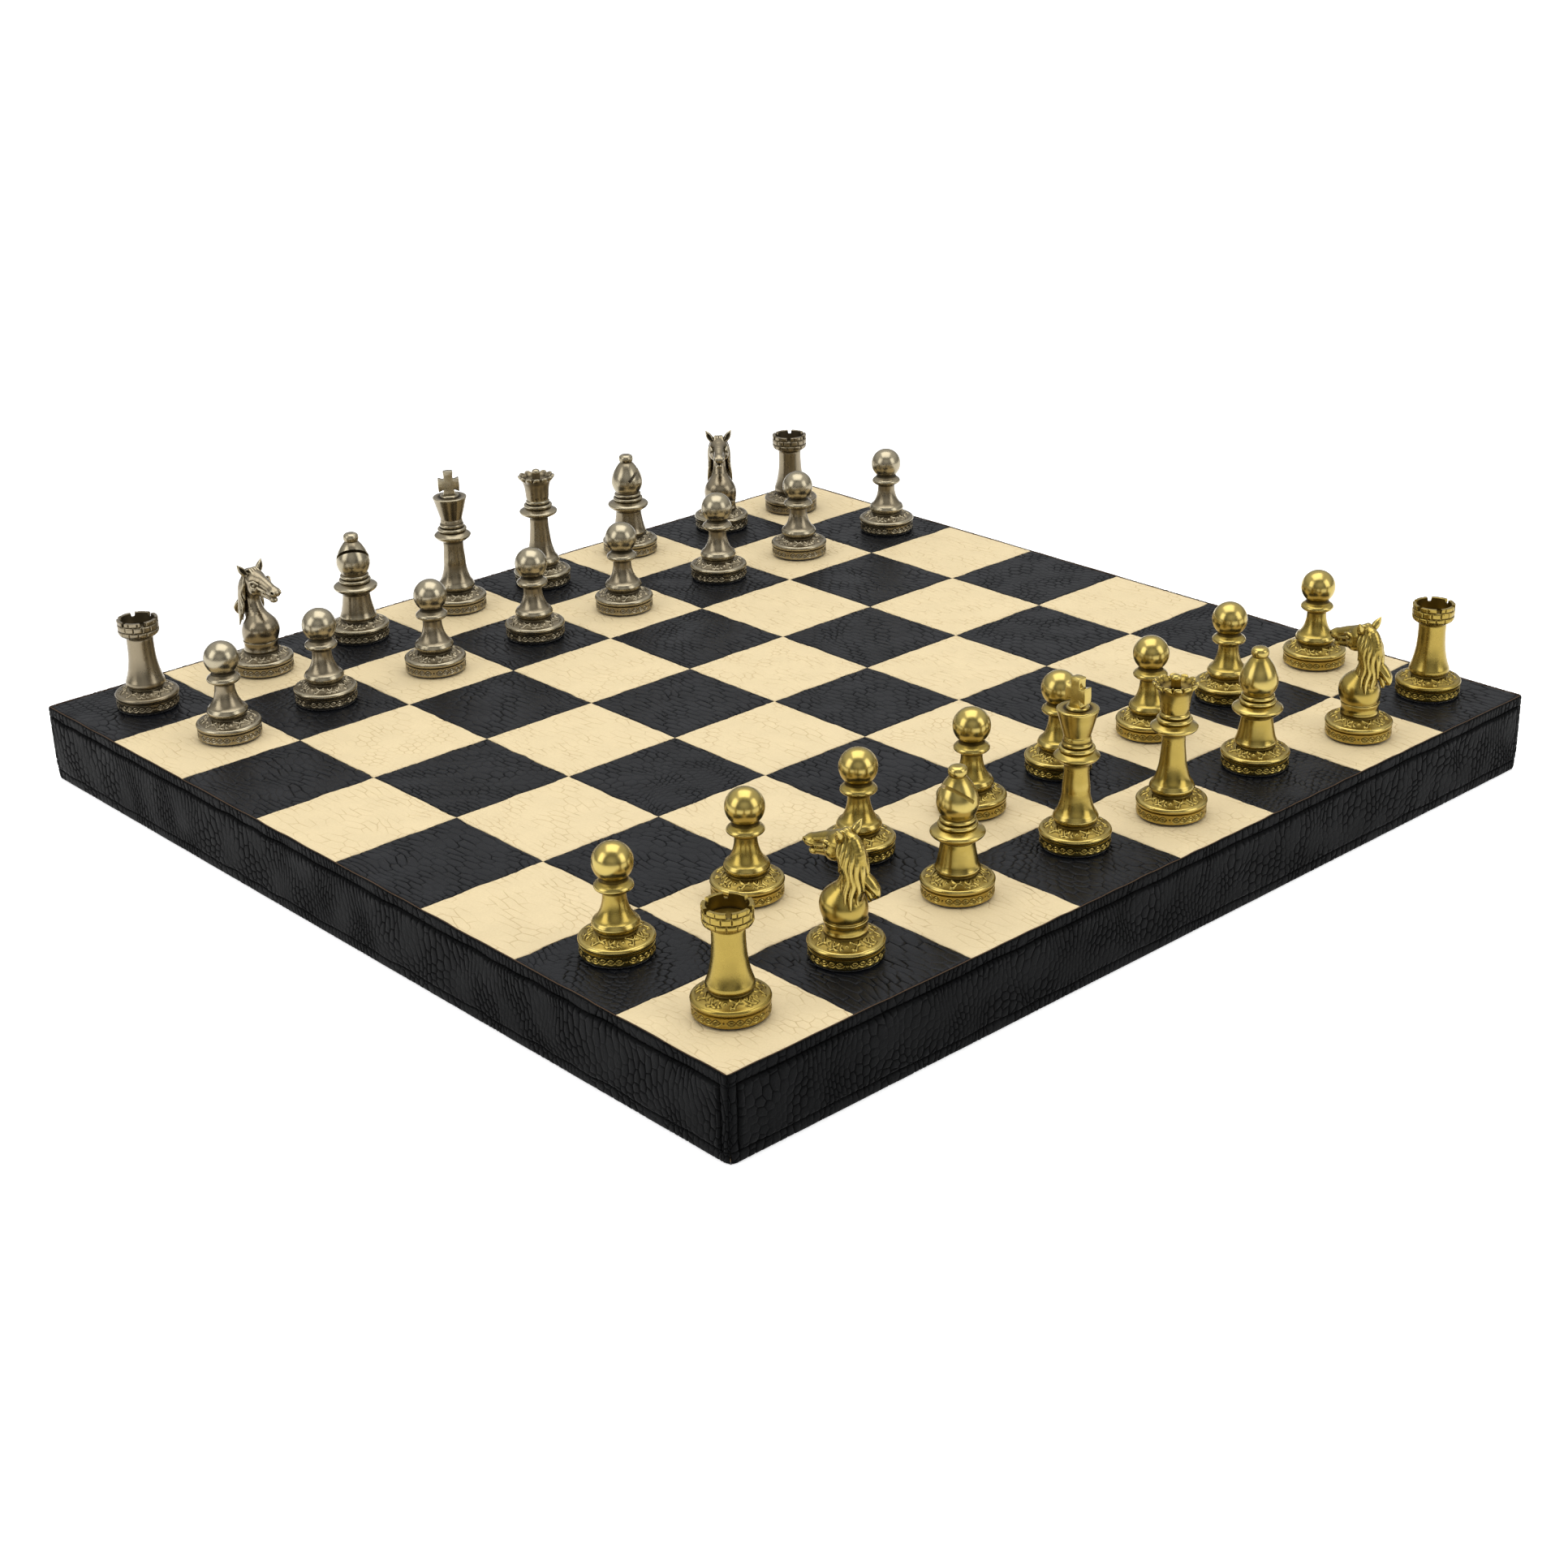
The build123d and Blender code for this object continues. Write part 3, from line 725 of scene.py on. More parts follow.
def king():
    """A plain flaring crown with a small disc. The cross is added to it."""
    return lathe(
        outline(
            crowned_stem(7.7, 4.2, 7.7),
            line((4.75, 37.7), (4.6, 39.3), 2),
            curve([(4.6, 39.3), (4.55, 39.7), (4.95, 41.2), (5.7, 43.9), (6.4, 46.5)], 5),
            curve([(6.4, 46.5), (6.75, 47.7), (7.05, 48.7), (7.0, 49.1), (6.7, 49.3)], 4),
            line((6.7, 49.3), (3.95, 49.2), 4),
            arc((3.95, 49.2), (3.8, 49.9), (3.2, 50.25), 4),
            line((3.2, 50.25), (0, 50.3), 3),
        ),
        112,
    )


def cross_outline():
    """The king's cross with flared arms, as (y, z) points round it."""
    right = [(2.7, 49.9), (2.4, 51.0), (2.0, 52.4), (3.1, 52.0), (4.3, 51.4), (4.45, 54.4),
             (4.3, 57.3), (3.1, 56.8), (1.9, 56.5), (1.85, 58.3), (2.1, 60.1), (0.0, 60.3)]
    left = [(-y, z) for y, z in right[-2::-1]]
    return right + left


def cross():
    """The cross as a rounded slab, its face across X."""
    thickness, rounding = 3.3, 0.35
    b = bmesh.new()
    verts = [b.verts.new((-thickness / 2, y, z)) for y, z in cross_outline()]
    face = b.faces.new(verts)
    pushed = bmesh.ops.extrude_face_region(b, geom=[face])
    moved = [g for g in pushed["geom"] if isinstance(g, bmesh.types.BMVert)]
    bmesh.ops.translate(b, verts=moved, vec=(thickness, 0, 0))
    bmesh.ops.recalc_face_normals(b, faces=b.faces)
    edges = [e for e in b.edges if e.calc_face_angle(0) > radians(25)]
    bmesh.ops.bevel(b, geom=edges, offset=rounding, segments=3, affect="EDGES", profile=0.5)
    return shell_of(b)


class Clay:
    """A solid on a grid, built up from rounded forms that melt into each other. Negative is inside."""

    def __init__(self, low, high, step):
        self.low, self.step = np.array(low, float), step
        axes = [np.arange(a, b + step, step, dtype=np.float32) for a, b in zip(low, high)]
        self.axes = axes
        self.field = np.full([len(a) for a in axes], 9.0, np.float32)

    def near(self, points, reach):
        """The part of the grid within reach of some points, and its coordinates."""
        points = np.array(points, float)
        first = np.maximum(((points.min(0) - reach - self.low) / self.step).astype(int), 0)
        last = ((points.max(0) + reach - self.low) / self.step).astype(int) + 2
        part = tuple(slice(a, b) for a, b in zip(first, last))
        return part, np.meshgrid(*[a[p] for a, p in zip(self.axes, part)], indexing="ij", sparse=True)

    def merge(self, part, form, blend, carve):
        """Adds a form to part of the grid, or carves it away, rounding the joint by blend."""
        now = self.field[part]
        a, b = (-now, form) if carve else (now, form)
        share = np.clip(0.5 + 0.5 * (a - b) / blend, 0, 1)
        joined = a + (b - a) * share - blend * share * (1 - share)
        self.field[part] = -joined if carve else joined

    def ball(self, middle, radii, blend=0.8, carve=False):
        """An ellipsoid."""
        part, (x, y, z) = self.near([middle], max(radii) + blend + 1)
        rx, ry, rz = radii
        x, y, z = x - middle[0], y - middle[1], z - middle[2]
        near = np.sqrt((x / rx) ** 2 + (y / ry) ** 2 + (z / rz) ** 2)
        slope = np.sqrt((x / rx**2) ** 2 + (y / ry**2) ** 2 + (z / rz**2) ** 2)
        self.merge(part, near * (near - 1) / np.maximum(slope, 1e-4), blend, carve)

    def limb(self, path, blend=0.8, carve=False):
        """A rounded limb through (x, y, z, radius) points."""
        path = curve(path, 4)
        part, (x, y, z) = self.near(path[:, :3], path[:, 3].max() + blend + 1)
        form = None
        for (ax, ay, az, ar), (bx, by, bz, br) in zip(path[:-1], path[1:]):
            dx, dy, dz = bx - ax, by - ay, bz - az
            t = ((x - ax) * dx + (y - ay) * dy + (z - az) * dz) / (dx * dx + dy * dy + dz * dz)
            t = np.clip(t, 0, 1)
            ox, oy, oz = x - ax - t * dx, y - ay - t * dy, z - az - t * dz
            far = np.sqrt(ox * ox + oy * oy + oz * oz) - (ar + t * (br - ar))
            form = far if form is None else np.minimum(form, far)
        self.merge(part, form, blend, carve)

    def settle(self):
        """Fills the grid points at which the surface would pinch itself along an edge."""
        for pair in ((0, 1), (0, 2), (1, 2)) * 3:
            corners = []
            for steps in ((0, 0), (1, 1), (0, 1), (1, 0)):
                part = [slice(None)] * 3
                for axis, step in zip(pair, steps):
                    part[axis] = slice(1, None) if step else slice(None, -1)
                corners.append(self.field[tuple(part)])
            for a, b, c, d in (corners, corners[2:] + corners[:2]):
                c[(a < 0) & (b < 0) & (c >= 0) & (d >= 0)] = -0.02

    def shell(self):
        """The surface as points, quads and triangles: one point in each grid cell that it crosses."""
        f = self.field
        inside = f < 0
        cells = tuple(n - 1 for n in f.shape)
        total, crossings = np.zeros((*cells, 3)), np.zeros(cells, int)
        faces = []
        for axis in range(3):
            side_b, side_c = (axis + 1) % 3, (axis + 2) % 3
            first = [slice(None)] * 3
            last = [slice(None)] * 3
            first[axis], last[axis] = slice(None, -1), slice(1, None)
            f0, f1 = f[tuple(first)], f[tuple(last)]
            index = np.argwhere(inside[tuple(first)] != inside[tuple(last)])
            i0 = tuple(index.T)
            share = f0[i0] / (f0[i0] - f1[i0])
            point = index.astype(float)
            point[:, axis] += share
            around = []
            for step_b, step_c in ((-1, -1), (0, -1), (0, 0), (-1, 0)):
                cell = index.copy()
                cell[:, side_b] += step_b
                cell[:, side_c] += step_c
                around.append(cell)
                np.add.at(total, tuple(cell.T), point)
                np.add.at(crossings, tuple(cell.T), 1)
            corners = np.stack(around, 1)
            outward = inside[tuple(first)][i0]
            corners[~outward] = corners[~outward][:, ::-1]
            faces.append(corners)
        used = crossings > 0
        number = np.full(cells, -1)
        number[used] = np.arange(used.sum())
        points = total[used] / crossings[used][:, None] * self.step + self.low
        corners = np.concatenate(faces)
        return points, number[tuple(np.moveaxis(corners, -1, 0))], np.zeros((0, 3), int)


# Locks of the mane on the left of the neck, as (x, y, z, radius) points from the crest down.
MANE_LOCKS = [
    [(-0.8, 1.6, 41.4, 0.6), (-1.3, 3.2, 39.4, 0.9), (-1.2, 4.1, 36.6, 0.9), (-2.0, 4.2, 33.4, 0.8),
     (-1.4, 4.3, 30.4, 0.3)],
    [(-1.9, 1.4, 41.6, 0.6), (-2.7, 3.3, 38.4, 0.95), (-2.5, 4.3, 34.6, 0.95), (-3.4, 4.3, 30.8, 0.9),
     (-2.7, 4.6, 27.2, 0.75), (-2.9, 5.0, 24.4, 0.25)],
    [(-3.0, 1.2, 41.0, 0.6), (-4.1, 3.2, 37.0, 1.0), (-3.9, 4.2, 32.6, 1.0), (-4.9, 4.2, 28.4, 0.95),
     (-4.2, 4.9, 24.2, 0.8), (-4.6, 5.6, 20.4, 0.25)],
    [(-4.1, 1.0, 40.0, 0.6), (-5.4, 2.8, 35.6, 1.0), (-5.3, 3.6, 31.0, 1.0), (-6.3, 3.5, 26.8, 0.95),
     (-5.7, 4.3, 22.6, 0.8), (-6.2, 4.8, 18.8, 0.25)],
    [(-5.0, 0.8, 38.4, 0.6), (-6.5, 2.0, 34.0, 1.0), (-6.6, 2.6, 29.6, 1.0), (-7.4, 2.3, 25.6, 0.9),
     (-6.9, 2.6, 22.0, 0.6), (-7.3, 2.6, 19.8, 0.2)],
    [(-5.8, 0.5, 36.4, 0.7), (-7.5, 0.8, 32.0, 1.0), (-7.9, 1.0, 28.0, 0.9), (-8.1, 0.9, 24.6, 0.4)],
    [(-1.6, 2.6, 39.8, 0.35), (-2.0, 4.2, 36.6, 0.45), (-2.8, 4.8, 33.0, 0.4), (-2.2, 4.9, 29.8, 0.15)],
    [(-3.3, 2.8, 38.6, 0.35), (-3.4, 4.5, 34.4, 0.45), (-4.2, 4.8, 30.0, 0.4), (-3.6, 5.1, 26.2, 0.15)],
    [(-5.0, 2.4, 36.6, 0.35), (-5.6, 3.9, 32.4, 0.45), (-5.9, 4.1, 28.4, 0.4), (-5.2, 4.6, 24.4, 0.15)],
]
# The locks that blow out behind the neck; the first curls under.
MANE_CURLS = [
    [(-6.0, -0.3, 30.0, 1.6), (-7.8, -0.8, 28.2, 1.9), (-9.6, -1.3, 26.2, 1.8), (-10.9, -1.8, 24.3, 1.3),
     (-10.9, -2.0, 22.7, 0.8), (-9.9, -1.9, 22.1, 0.35)],
    [(-6.6, -1.6, 29.8, 0.8), (-8.8, -2.6, 27.4, 0.9), (-10.6, -3.1, 25.0, 0.7), (-10.9, -3.0, 23.2, 0.3)],
    [(-6.4, 0.7, 30.0, 0.8), (-8.6, 0.2, 28.0, 0.9), (-10.6, -0.4, 25.6, 0.8), (-11.4, -1.0, 23.6, 0.3)],
    [(-6.5, -0.6, 26.8, 1.4), (-7.9, -1.2, 24.4, 1.3), (-8.7, -1.6, 22.0, 0.9), (-8.6, -1.8, 20.4, 0.3)],
]


def knight():
    """A horse's head with a flowing mane, on a round drum. It faces +X."""
    drum = lathe(
        outline(
            line((0, NECK_HEIGHT - 0.3), (6.3, NECK_HEIGHT - 0.3), 2),
            curve([(6.3, NECK_HEIGHT - 0.3), (6.95, 9.2), (6.75, 10.4), (6.75, 11.6), (7.05, 12.9)], 5),
            curve([(7.05, 12.9), (6.95, 13.15), (6.5, 13.2), (6.45, 13.45)], 3),
            line((6.45, 13.45), (0, 13.6), 2),
        ),
        112,
    )
    clay = Clay((-16.0, -8.4, 12.6), (17.5, 8.4, 46.6), 0.25)
    clay.ball((0.2, 0, 16.0), (7.2, 7.3, 8.2), 0.8)
    clay.ball((2.4, 0, 18.0), (5.8, 6.8, 5.8), 1.5)
    clay.limb([(0.6, 0, 20, 4.7), (-1.5, 0, 25.5, 3.4), (-2.4, 0, 30.5, 3.0), (-1.4, 0, 36, 3.5),
               (-0.2, 0, 38.6, 3.3)], 1.8)
    clay.ball((1.2, 0, 38.3), (4.4, 4.2, 3.4), 1.2)
    clay.limb([(1.5, 0, 39.0, 2.9), (6.5, 0, 38.0, 2.4), (12.3, 0, 36.1, 1.9)], 1.2)
    clay.ball((13.0, 0, 35.5), (2.7, 2.5, 2.0), 1.0)
    clay.limb([(3.6, 0, 34.6, 2.4), (8.0, 0, 33.5, 1.7), (12.0, 0, 32.5, 1.2)], 1.0)
    clay.ball((12.2, 0, 32.3), (1.7, 1.6, 1.1), 0.6)
    for side in (-1, 1):
        clay.ball((2.7, side * 1.8, 35.6), (3.5, 2.7, 3.3), 0.9)
        clay.limb([(5.8, side * 2.5, 36.4, 0.7), (9.0, side * 2.0, 35.6, 0.6),
                   (12.0, side * 1.7, 35.2, 0.5)], 0.6)
        clay.ball((4.9, side * 4.1, 37.5), (1.6, 1.0, 1.05), 0.5, carve=True)
        clay.ball((4.8, side * 3.5, 37.45), (0.95, 0.85, 0.7), 0.2)
        clay.limb([(2.6, side * 3.8, 38.3, 0.45), (4.6, side * 3.9, 39.0, 0.55),
                   (6.9, side * 3.0, 38.0, 0.35)], 0.4)
        clay.ball((14.5, side * 1.75, 35.9), (0.95, 0.7, 0.6), 0.3, carve=True)
        clay.limb([(13.6, side * 1.7, 36.7, 0.3), (15.0, side * 1.5, 36.3, 0.35),
                   (15.3, side * 1.5, 35.4, 0.3)], 0.4)
        clay.ball((9.4, side * 2.1, 35.0), (0.85, 0.75, 0.85), 0.15)
        clay.ball((9.4, side * 2.9, 35.0), (0.42, 0.7, 0.42), 0.15, carve=True)
    for offset in (-0.7, 0.0, 0.7):
        lips = [(8.8, offset * 3.4, 34.3, 0.3), (11.0, offset * 3.4, 33.9, 0.36),
                (16.0, offset * 3.0, 33.7, 0.55)]
        clay.limb(lips, 0.25, carve=True)
    crest = [(-1.5, 0, 41.0, 1.6), (-3.7, 0, 39.4, 2.4), (-4.8, 0, 35.5, 3.0), (-5.1, 0, 31, 3.2),
             (-4.5, 0, 26.5, 3.2), (-3.8, 0, 22, 2.8)]
    clay.limb(crest, 0.8)
    for side in (-1, 1):
        for lock in MANE_LOCKS:
            clay.limb([(x, side * y, z, r) for x, y, z, r in lock], 0.22)
    for lock in MANE_CURLS:
        clay.limb(lock, 0.3)
    for bow, tip in ((-1.5, -2.2), (-0.5, -0.7), (0.6, 0.9), (1.5, 2.4)):
        root = [(-2.2, bow * 0.5, 41.2, 0.8), (-0.6, bow, 42.5, 0.6)]
        clay.limb([*root, (1.2, bow * 1.1, 41.9, 0.5), (3.2, tip, 40.7, 0.2)], 0.2)
    for side in (-1, 1):
        clay.limb([(-0.9, side * 2.5, 40.0, 1.1), (-1.5, side * 4.2, 42.3, 1.4),
                   (-2.2, side * 5.7, 44.8, 0.25)], 0.5)
        ear = [(-0.1, side * 3.5, 41.2, 0.55), (-0.6, side * 4.5, 42.7, 0.75), (-1.4, side * 5.5, 44.2, 0.2)]
        clay.limb(ear, 0.2, carve=True)
    clay.field = np.maximum(clay.field, 13.4 - clay.axes[2])
    clay.settle()
    return join_shells(drum, clay.shell())


def felt_disc():
    """The felt under a foot, its edge a little rounded and uneven."""

    def fray(radius, height, turn):
        ragged = ripple(np.cos(turn) * 30, np.sin(turn) * 30, 3, 5) * smoothstep(radius, 10.5, 11.2)
        return radius + 0.06 * ragged, height

    half = outline(
        line((0, 0), (10.8, 0), 6),
        curve([(10.8, 0), (FELT_RADIUS - 0.1, 0.12), (FELT_RADIUS, FELT / 2), (FELT_RADIUS - 0.1, FELT)], 3),
        line((FELT_RADIUS - 0.1, FELT), (0, FELT), 4),
    )
    return lathe(half, 120, fray)


# ---------------------------------------------------------------- the men
def man_mesh(kind, colour):
    """The whole casting of one kind of man in one colour."""
    turn = radians(ORNAMENT_STARTS[kind])
    points, quads, triangles = foot()
    spin = np.array([[cos(turn), sin(turn), 0], [-sin(turn), cos(turn), 0], [0, 0, 1]])
    shells = [(points @ spin, quads, triangles), FIGURES[kind]()]
    if kind == "king":
        shells.append(cross())
    mesh = build_mesh(f"{colour}_{kind}", *join_shells(*shells))
    co = np.zeros(len(mesh.vertices) * 3)
    mesh.vertices.foreach_get("co", co)
    x, y, z = co.reshape(-1, 3).T / MM
    far = np.hypot(x, y)
    # Painted shade: a dark band round the neck, in the recess under the skirt, stored in the hollow layer.
    neck_painted_shade = smoothstep(z, 7.6, 8.4) * (1 - smoothstep(z, 8.9, 9.5)) * (1 - smoothstep(far, 7.2, 8.6)) * 0.8
    ledge_r, ledge_z = LEDGE[::-1].T
    raised = (z - np.interp(far, ledge_r, ledge_z)) / SCROLL_HEIGHT
    on_ledge = (far > ledge_r[0] - 0.05) & (far < ledge_r[-1] - 0.35)
    on_ledge &= (raised > -0.1) & (raised < 1.1) & (z > 6.2)
    extra = np.where(on_ledge, 0.28 - 1.2 * np.clip(raised, 0, 1), np.where(neck_painted_shade > 0.02, neck_painted_shade, -1))
    if kind == "rook":
        # Painted shade inside the rook's cup, stored in the hollow layer.
        inside = (far < 6.6) & (z > 31)
        extra = np.maximum(extra, inside * (0.5 - 0.2 * smoothstep(far, 2, 5)))
    add_hollows(mesh, extra)
    mesh.materials.clear()
    return mesh


FIGURES = {"pawn": pawn, "rook": rook, "knight": knight, "bishop": bishop, "queen": queen, "king": king}


def standing_place(node, heading):
    """Where a man's foot stands on the board, with the man's turn."""
    points = np.array([v.co for v in frame["nodes"][node].data.vertices])
    lowest = points[:, 2].min()
    sole = points[points[:, 2] < lowest + FELT * MM / 2]
    middle = (sole.min(0) + sole.max(0)) / 2
    return Matrix.Translation((middle[0], middle[1], lowest)) @ Matrix.Rotation(radians(heading), 4, "Z")


def make_men():
    """Every man in its place: its casting and the felt under it."""
    felt = build_mesh("felt_disc", *felt_disc())
    meshes = {}
    for node in sorted(frame["bodies"]):
        if node == "board":
            continue
        colour, kind, number = node.split("_")
        if (kind, colour) not in meshes:
            meshes[kind, colour] = man_mesh(kind, colour)
        heading = HEADINGS.get(node, int(number) * 29)
        place = standing_place(node, heading)
        metal = METALS[colour]
        add_piece(f"{node}_casting", meshes[kind, colour], metal, node, [node], place)
        add_piece(f"{node}_felt", felt, FELT_BLACK, node, [node], place)


# ---------------------------------------------------------------- scaled leather
def spaced(start, end, small, large, share):
    """Places from before start to past end, the gaps growing from small to large as share goes 0 to 1."""
    places = [start - 3 * large]
    while places[-1] < end + 3 * large:
        places.append(places[-1] + small + (large - small) * float(share(places[-1])))
    return np.array(places)


def scale_pattern(across, along, sway, seed):
    """The outlines of pressed scales: staggered cells, stretched to the given places and swayed."""
    rng = np.random.default_rng(seed)
    seeds = [
        (i + rng.normal(0, 0.07), j + 0.5 * (i % 2) + rng.normal(0, 0.09))
        for i in range(len(across)) for j in range(len(along))
    ]
    cells = []
    for cell in scale_cells(seeds):
        if cell.min() < -1 or (cell.max(0) > (len(across), len(along) + 1)).any():
            continue
        x = np.interp(cell[:, 0], np.arange(len(across)), across)
        y = np.interp(cell[:, 1], np.arange(len(along)), along)
        dx, dy = sway * ripple(x, y, 11, seed + 1), sway * ripple(x, y, 11, seed + 2)
        cells.append(np.stack([x + dx, y + dy], 1))
    return cells


def scale_cells(seeds):
    """The outline of each scale: the cell round its seed, from the circles through neighbours."""
    flat, _, triangles, _, _, _ = delaunay_2d_cdt([Vector(s) for s in seeds], [], [], 0, 1e-6)
    p, t = np.array(flat), np.array(triangles)
    a, b, c = p[t[:, 0]], p[t[:, 1]] - p[t[:, 0]], p[t[:, 2]] - p[t[:, 0]]
    d = 2 * (b[:, 0] * c[:, 1] - b[:, 1] * c[:, 0])
    bb, cc = (b * b).sum(1), (c * c).sum(1)
    centres = a + np.stack([c[:, 1] * bb - b[:, 1] * cc, b[:, 0] * cc - c[:, 0] * bb], 1) / d[:, None]
    corner, which = t.ravel(), np.repeat(np.arange(len(t)), 3)
    way = centres[which] - p[corner]
    order = np.lexsort((np.arctan2(way[:, 1], way[:, 0]), corner))
    splits = np.flatnonzero(np.diff(corner[order])) + 1
    return [centres[which[group]] for group in np.split(order, splits)]


def clip_cell(cell, low, high):
    """The part of a cell inside a rectangle, or None."""
    for axis in (0, 1):
        for bound, side in ((low[axis], 1), (high[axis], -1)):
            inside = side * (cell[:, axis] - bound) >= 0
            if inside.all():
                continue
            if not inside.any():
                return None
            kept = []
            for i, here in enumerate(cell):
                after = (i + 1) % len(cell)
                if inside[i]:
                    kept.append(tuple(here))
                if inside[i] != inside[after]:
                    first, last = sorted((tuple(here), tuple(cell[after])))
                    t = (bound - first[axis]) / (last[axis] - first[axis])
                    point = [first[k] + t * (last[k] - first[k]) for k in (0, 1)]
                    point[axis] = bound
                    kept.append(tuple(point))
            cell = np.array(kept)
    return cell


SNAP = 0.02


def scaled_sheet(cells, regions):
    """A flat sheet of scales over rectangular regions, each scale a shallow dome in its crease.

    Gives the points (u, v), how high each is from 0 in a crease to 1 on a dome, and the faces.
    """
    rims, inner, faces4, faces3 = [], [], [], []
    for low, high in regions:
        for cell in cells:
            if (cell.max(0) < low).any() or (cell.min(0) > high).any():
                continue
            part = clip_cell(cell, low, high)
            if part is None:
                continue
            part = np.round(part / SNAP) * SNAP
            part = part[np.abs(part - np.roll(part, 1, 0)).max(1) > SNAP / 2]
            if len(part) < 3:
                continue
            after = np.roll(part, -1, 0)
            long = np.hypot(*(after - part).T) > 1.1
            both = np.stack([part, (part + after) / 2], 1).reshape(-1, 2)
            rims.append(both[np.stack([np.full(len(part), True), long], 1).ravel()])
    starts = np.cumsum([0] + [len(r) for r in rims])
    steps = np.round(np.concatenate(rims) / SNAP).astype(int)
    rim_points, own = np.unique(steps, axis=0, return_inverse=True)
    own = own.ravel()
    rim_points = rim_points * SNAP
    count = len(rim_points)
    heights = []
    for rim, start in zip(rims, starts):
        k = len(rim)
        middle = rim.mean(0)
        way = middle - rim
        far = np.maximum(np.hypot(*way.T), 1e-6)[:, None]
        outer = own[start:start + k]
        for inset, most, level in ((0.16, 0.2, 0.42), (0.42, 0.45, 0.78), (0.95, 0.72, 0.96)):
            inner.append(rim + way / far * np.minimum(inset, most * far))
            heights.append(np.full(k, level))
            here = count + np.arange(k)
            faces4.append(np.stack([outer, np.roll(outer, -1), np.roll(here, -1), here], 1))
            outer, count = here, count + k
        inner.append(middle[None])
        heights.append([1.0])
        faces3.append(np.stack([outer, np.roll(outer, -1), np.full(k, count)], 1))
        count += 1
    points = np.concatenate([rim_points, *inner])
    height = np.concatenate([np.zeros(len(rim_points)), *heights])
    return points, height, np.concatenate(faces4), np.concatenate(faces3)


def is_clean(quads, triangles):
    """Whether no edge of a sheet has more than two faces and its rim never meets itself."""
    edges = np.concatenate([np.stack([f, np.roll(f, -1, 1)], 2).reshape(-1, 2) for f in (quads, triangles)])
    edges, faces = np.unique(np.sort(edges, 1), axis=0, return_counts=True)
    return faces.max() == 2 and np.unique(edges[faces == 1], return_counts=True)[1].max() == 2


def close_sheet(mesh, back, cut_layer=0.0):
    """Closes an open sheet: its edge is drawn back to where back(x, y, z) says, and capped."""
    b = bmesh.new()
    b.from_mesh(mesh)
    cut = b.verts.layers.float.get("cut")
    rim = [e for e in b.edges if e.is_boundary]
    new = bmesh.ops.extrude_edge_only(b, edges=rim)["geom"]
    for v in (g for g in new if isinstance(g, bmesh.types.BMVert)):
        v.co = back(v.co)
        if cut and v.co.z > (TOP - 1.5) * MM:
            v[cut] = cut_layer
    bmesh.ops.holes_fill(b, edges=[e for e in b.edges if e.is_boundary], sides=0)
    bmesh.ops.recalc_face_normals(b, faces=b.faces)
    b.to_mesh(mesh)
    b.free()


def seam_warp(x, y):
    """How far the cut edges of the squares wander, the same for both sides of a seam."""
    fade = np.clip((FIELD / 2 - np.abs(x)) / 3, 0, 1) * np.clip((FIELD / 2 - np.abs(y)) / 3, 0, 1)
    dx = 0.2 * ripple(x, y, 6, 11) + 0.1 * ripple(x, y, 1.7, 12)
    dy = 0.2 * ripple(x, y, 6, 13) + 0.1 * ripple(x, y, 1.7, 14)
    return dx * fade, dy * fade


def leather_square(file, rank, light):
    """One square cut from scaled leather, with its own lie of small and large scales."""
    seed = 100 + 8 * rank + file
    rng = np.random.default_rng(seed)
    half = (SQUARE - SEAM) / 2
    low, high = np.array([-half, -half]), np.array([half, half])
    trend_x, trend_y = rng.uniform(-1.2, 1.2), rng.uniform(-1.2, 1.2)
    bias = rng.uniform(-0.25, 0.45)
    across = spaced(-half, half, 2.3, 3.6, lambda x: smoothstep(0.5 + trend_x * x / SQUARE))
    short, long = (4.0, 12.0) if light else (2.6, 8.5)
    along = spaced(-half, half, short, long, lambda y: smoothstep(0.5 + bias + trend_y * y / SQUARE))
    for retry in range(5):
        cells = scale_pattern(across, along, 1.1, seed + 300 + 1000 * retry)
        points, height, quads, triangles = scaled_sheet(cells, [(low, high)])
        if is_clean(quads, triangles):
            break
    u, v = points.T
    free = smoothstep(half - np.maximum(np.abs(u), np.abs(v)), 0.0, 1.5)
    u, v = u + 0.16 * free * ripple(u, v, 1.6, seed + 50), v + 0.16 * free * ripple(u, v, 1.6, seed + 60)
    x0, y0 = (file + 0.5) * SQUARE - FIELD / 2, (rank + 0.5) * SQUARE - FIELD / 2
    strength = np.clip(0.6 + 0.5 * ripple(u, v, 7, seed + 900), 0.05 if light else 0.25, 1)
    depth = (IVORY_SCALE_DEPTH if light else BLACK_SCALE_DEPTH) * strength
    edge = free == 0
    roll = smoothstep(np.maximum(np.abs(u), np.abs(v)), half - 0.9, half)
    sway = 0.06 * (ripple(x0 + u, y0 + v, 25, 21) - 1)
    z = TOP + np.minimum(sway, 0) * (1 - roll) - (1 - height) * depth - SQUARE_EDGE_DROP * roll**2
    dx, dy = seam_warp(x0 + u, y0 + v)
    # Painted shade in the creases between scales, and a dark rim of painted shade along each seam.
    crease = (1 - height) ** 1.3 * strength
    layers = {"crease": np.where(edge, 0.8, crease), "cut": np.zeros(len(u))}
    name = f"{'light' if light else 'dark'}_square_{'abcdefgh'[file]}{rank + 1}"
    xyz = np.stack([x0 + u + dx, y0 + v + dy, z], 1)
    mesh = build_mesh(name, xyz, quads, triangles, layers, 70)
    close_sheet(mesh, lambda co: Vector((co.x, co.y, LEATHER_BOTTOM * MM)))
    shade(mesh, 70)
    material = IVORY_LEATHER if light else BLACK_LEATHER
    add_piece(name, mesh, material, "board", ["light_squares" if light else "dark_squares"])


SIDES = {"queenside": 0, "silver": 90, "kingside": 180, "gold": 270}


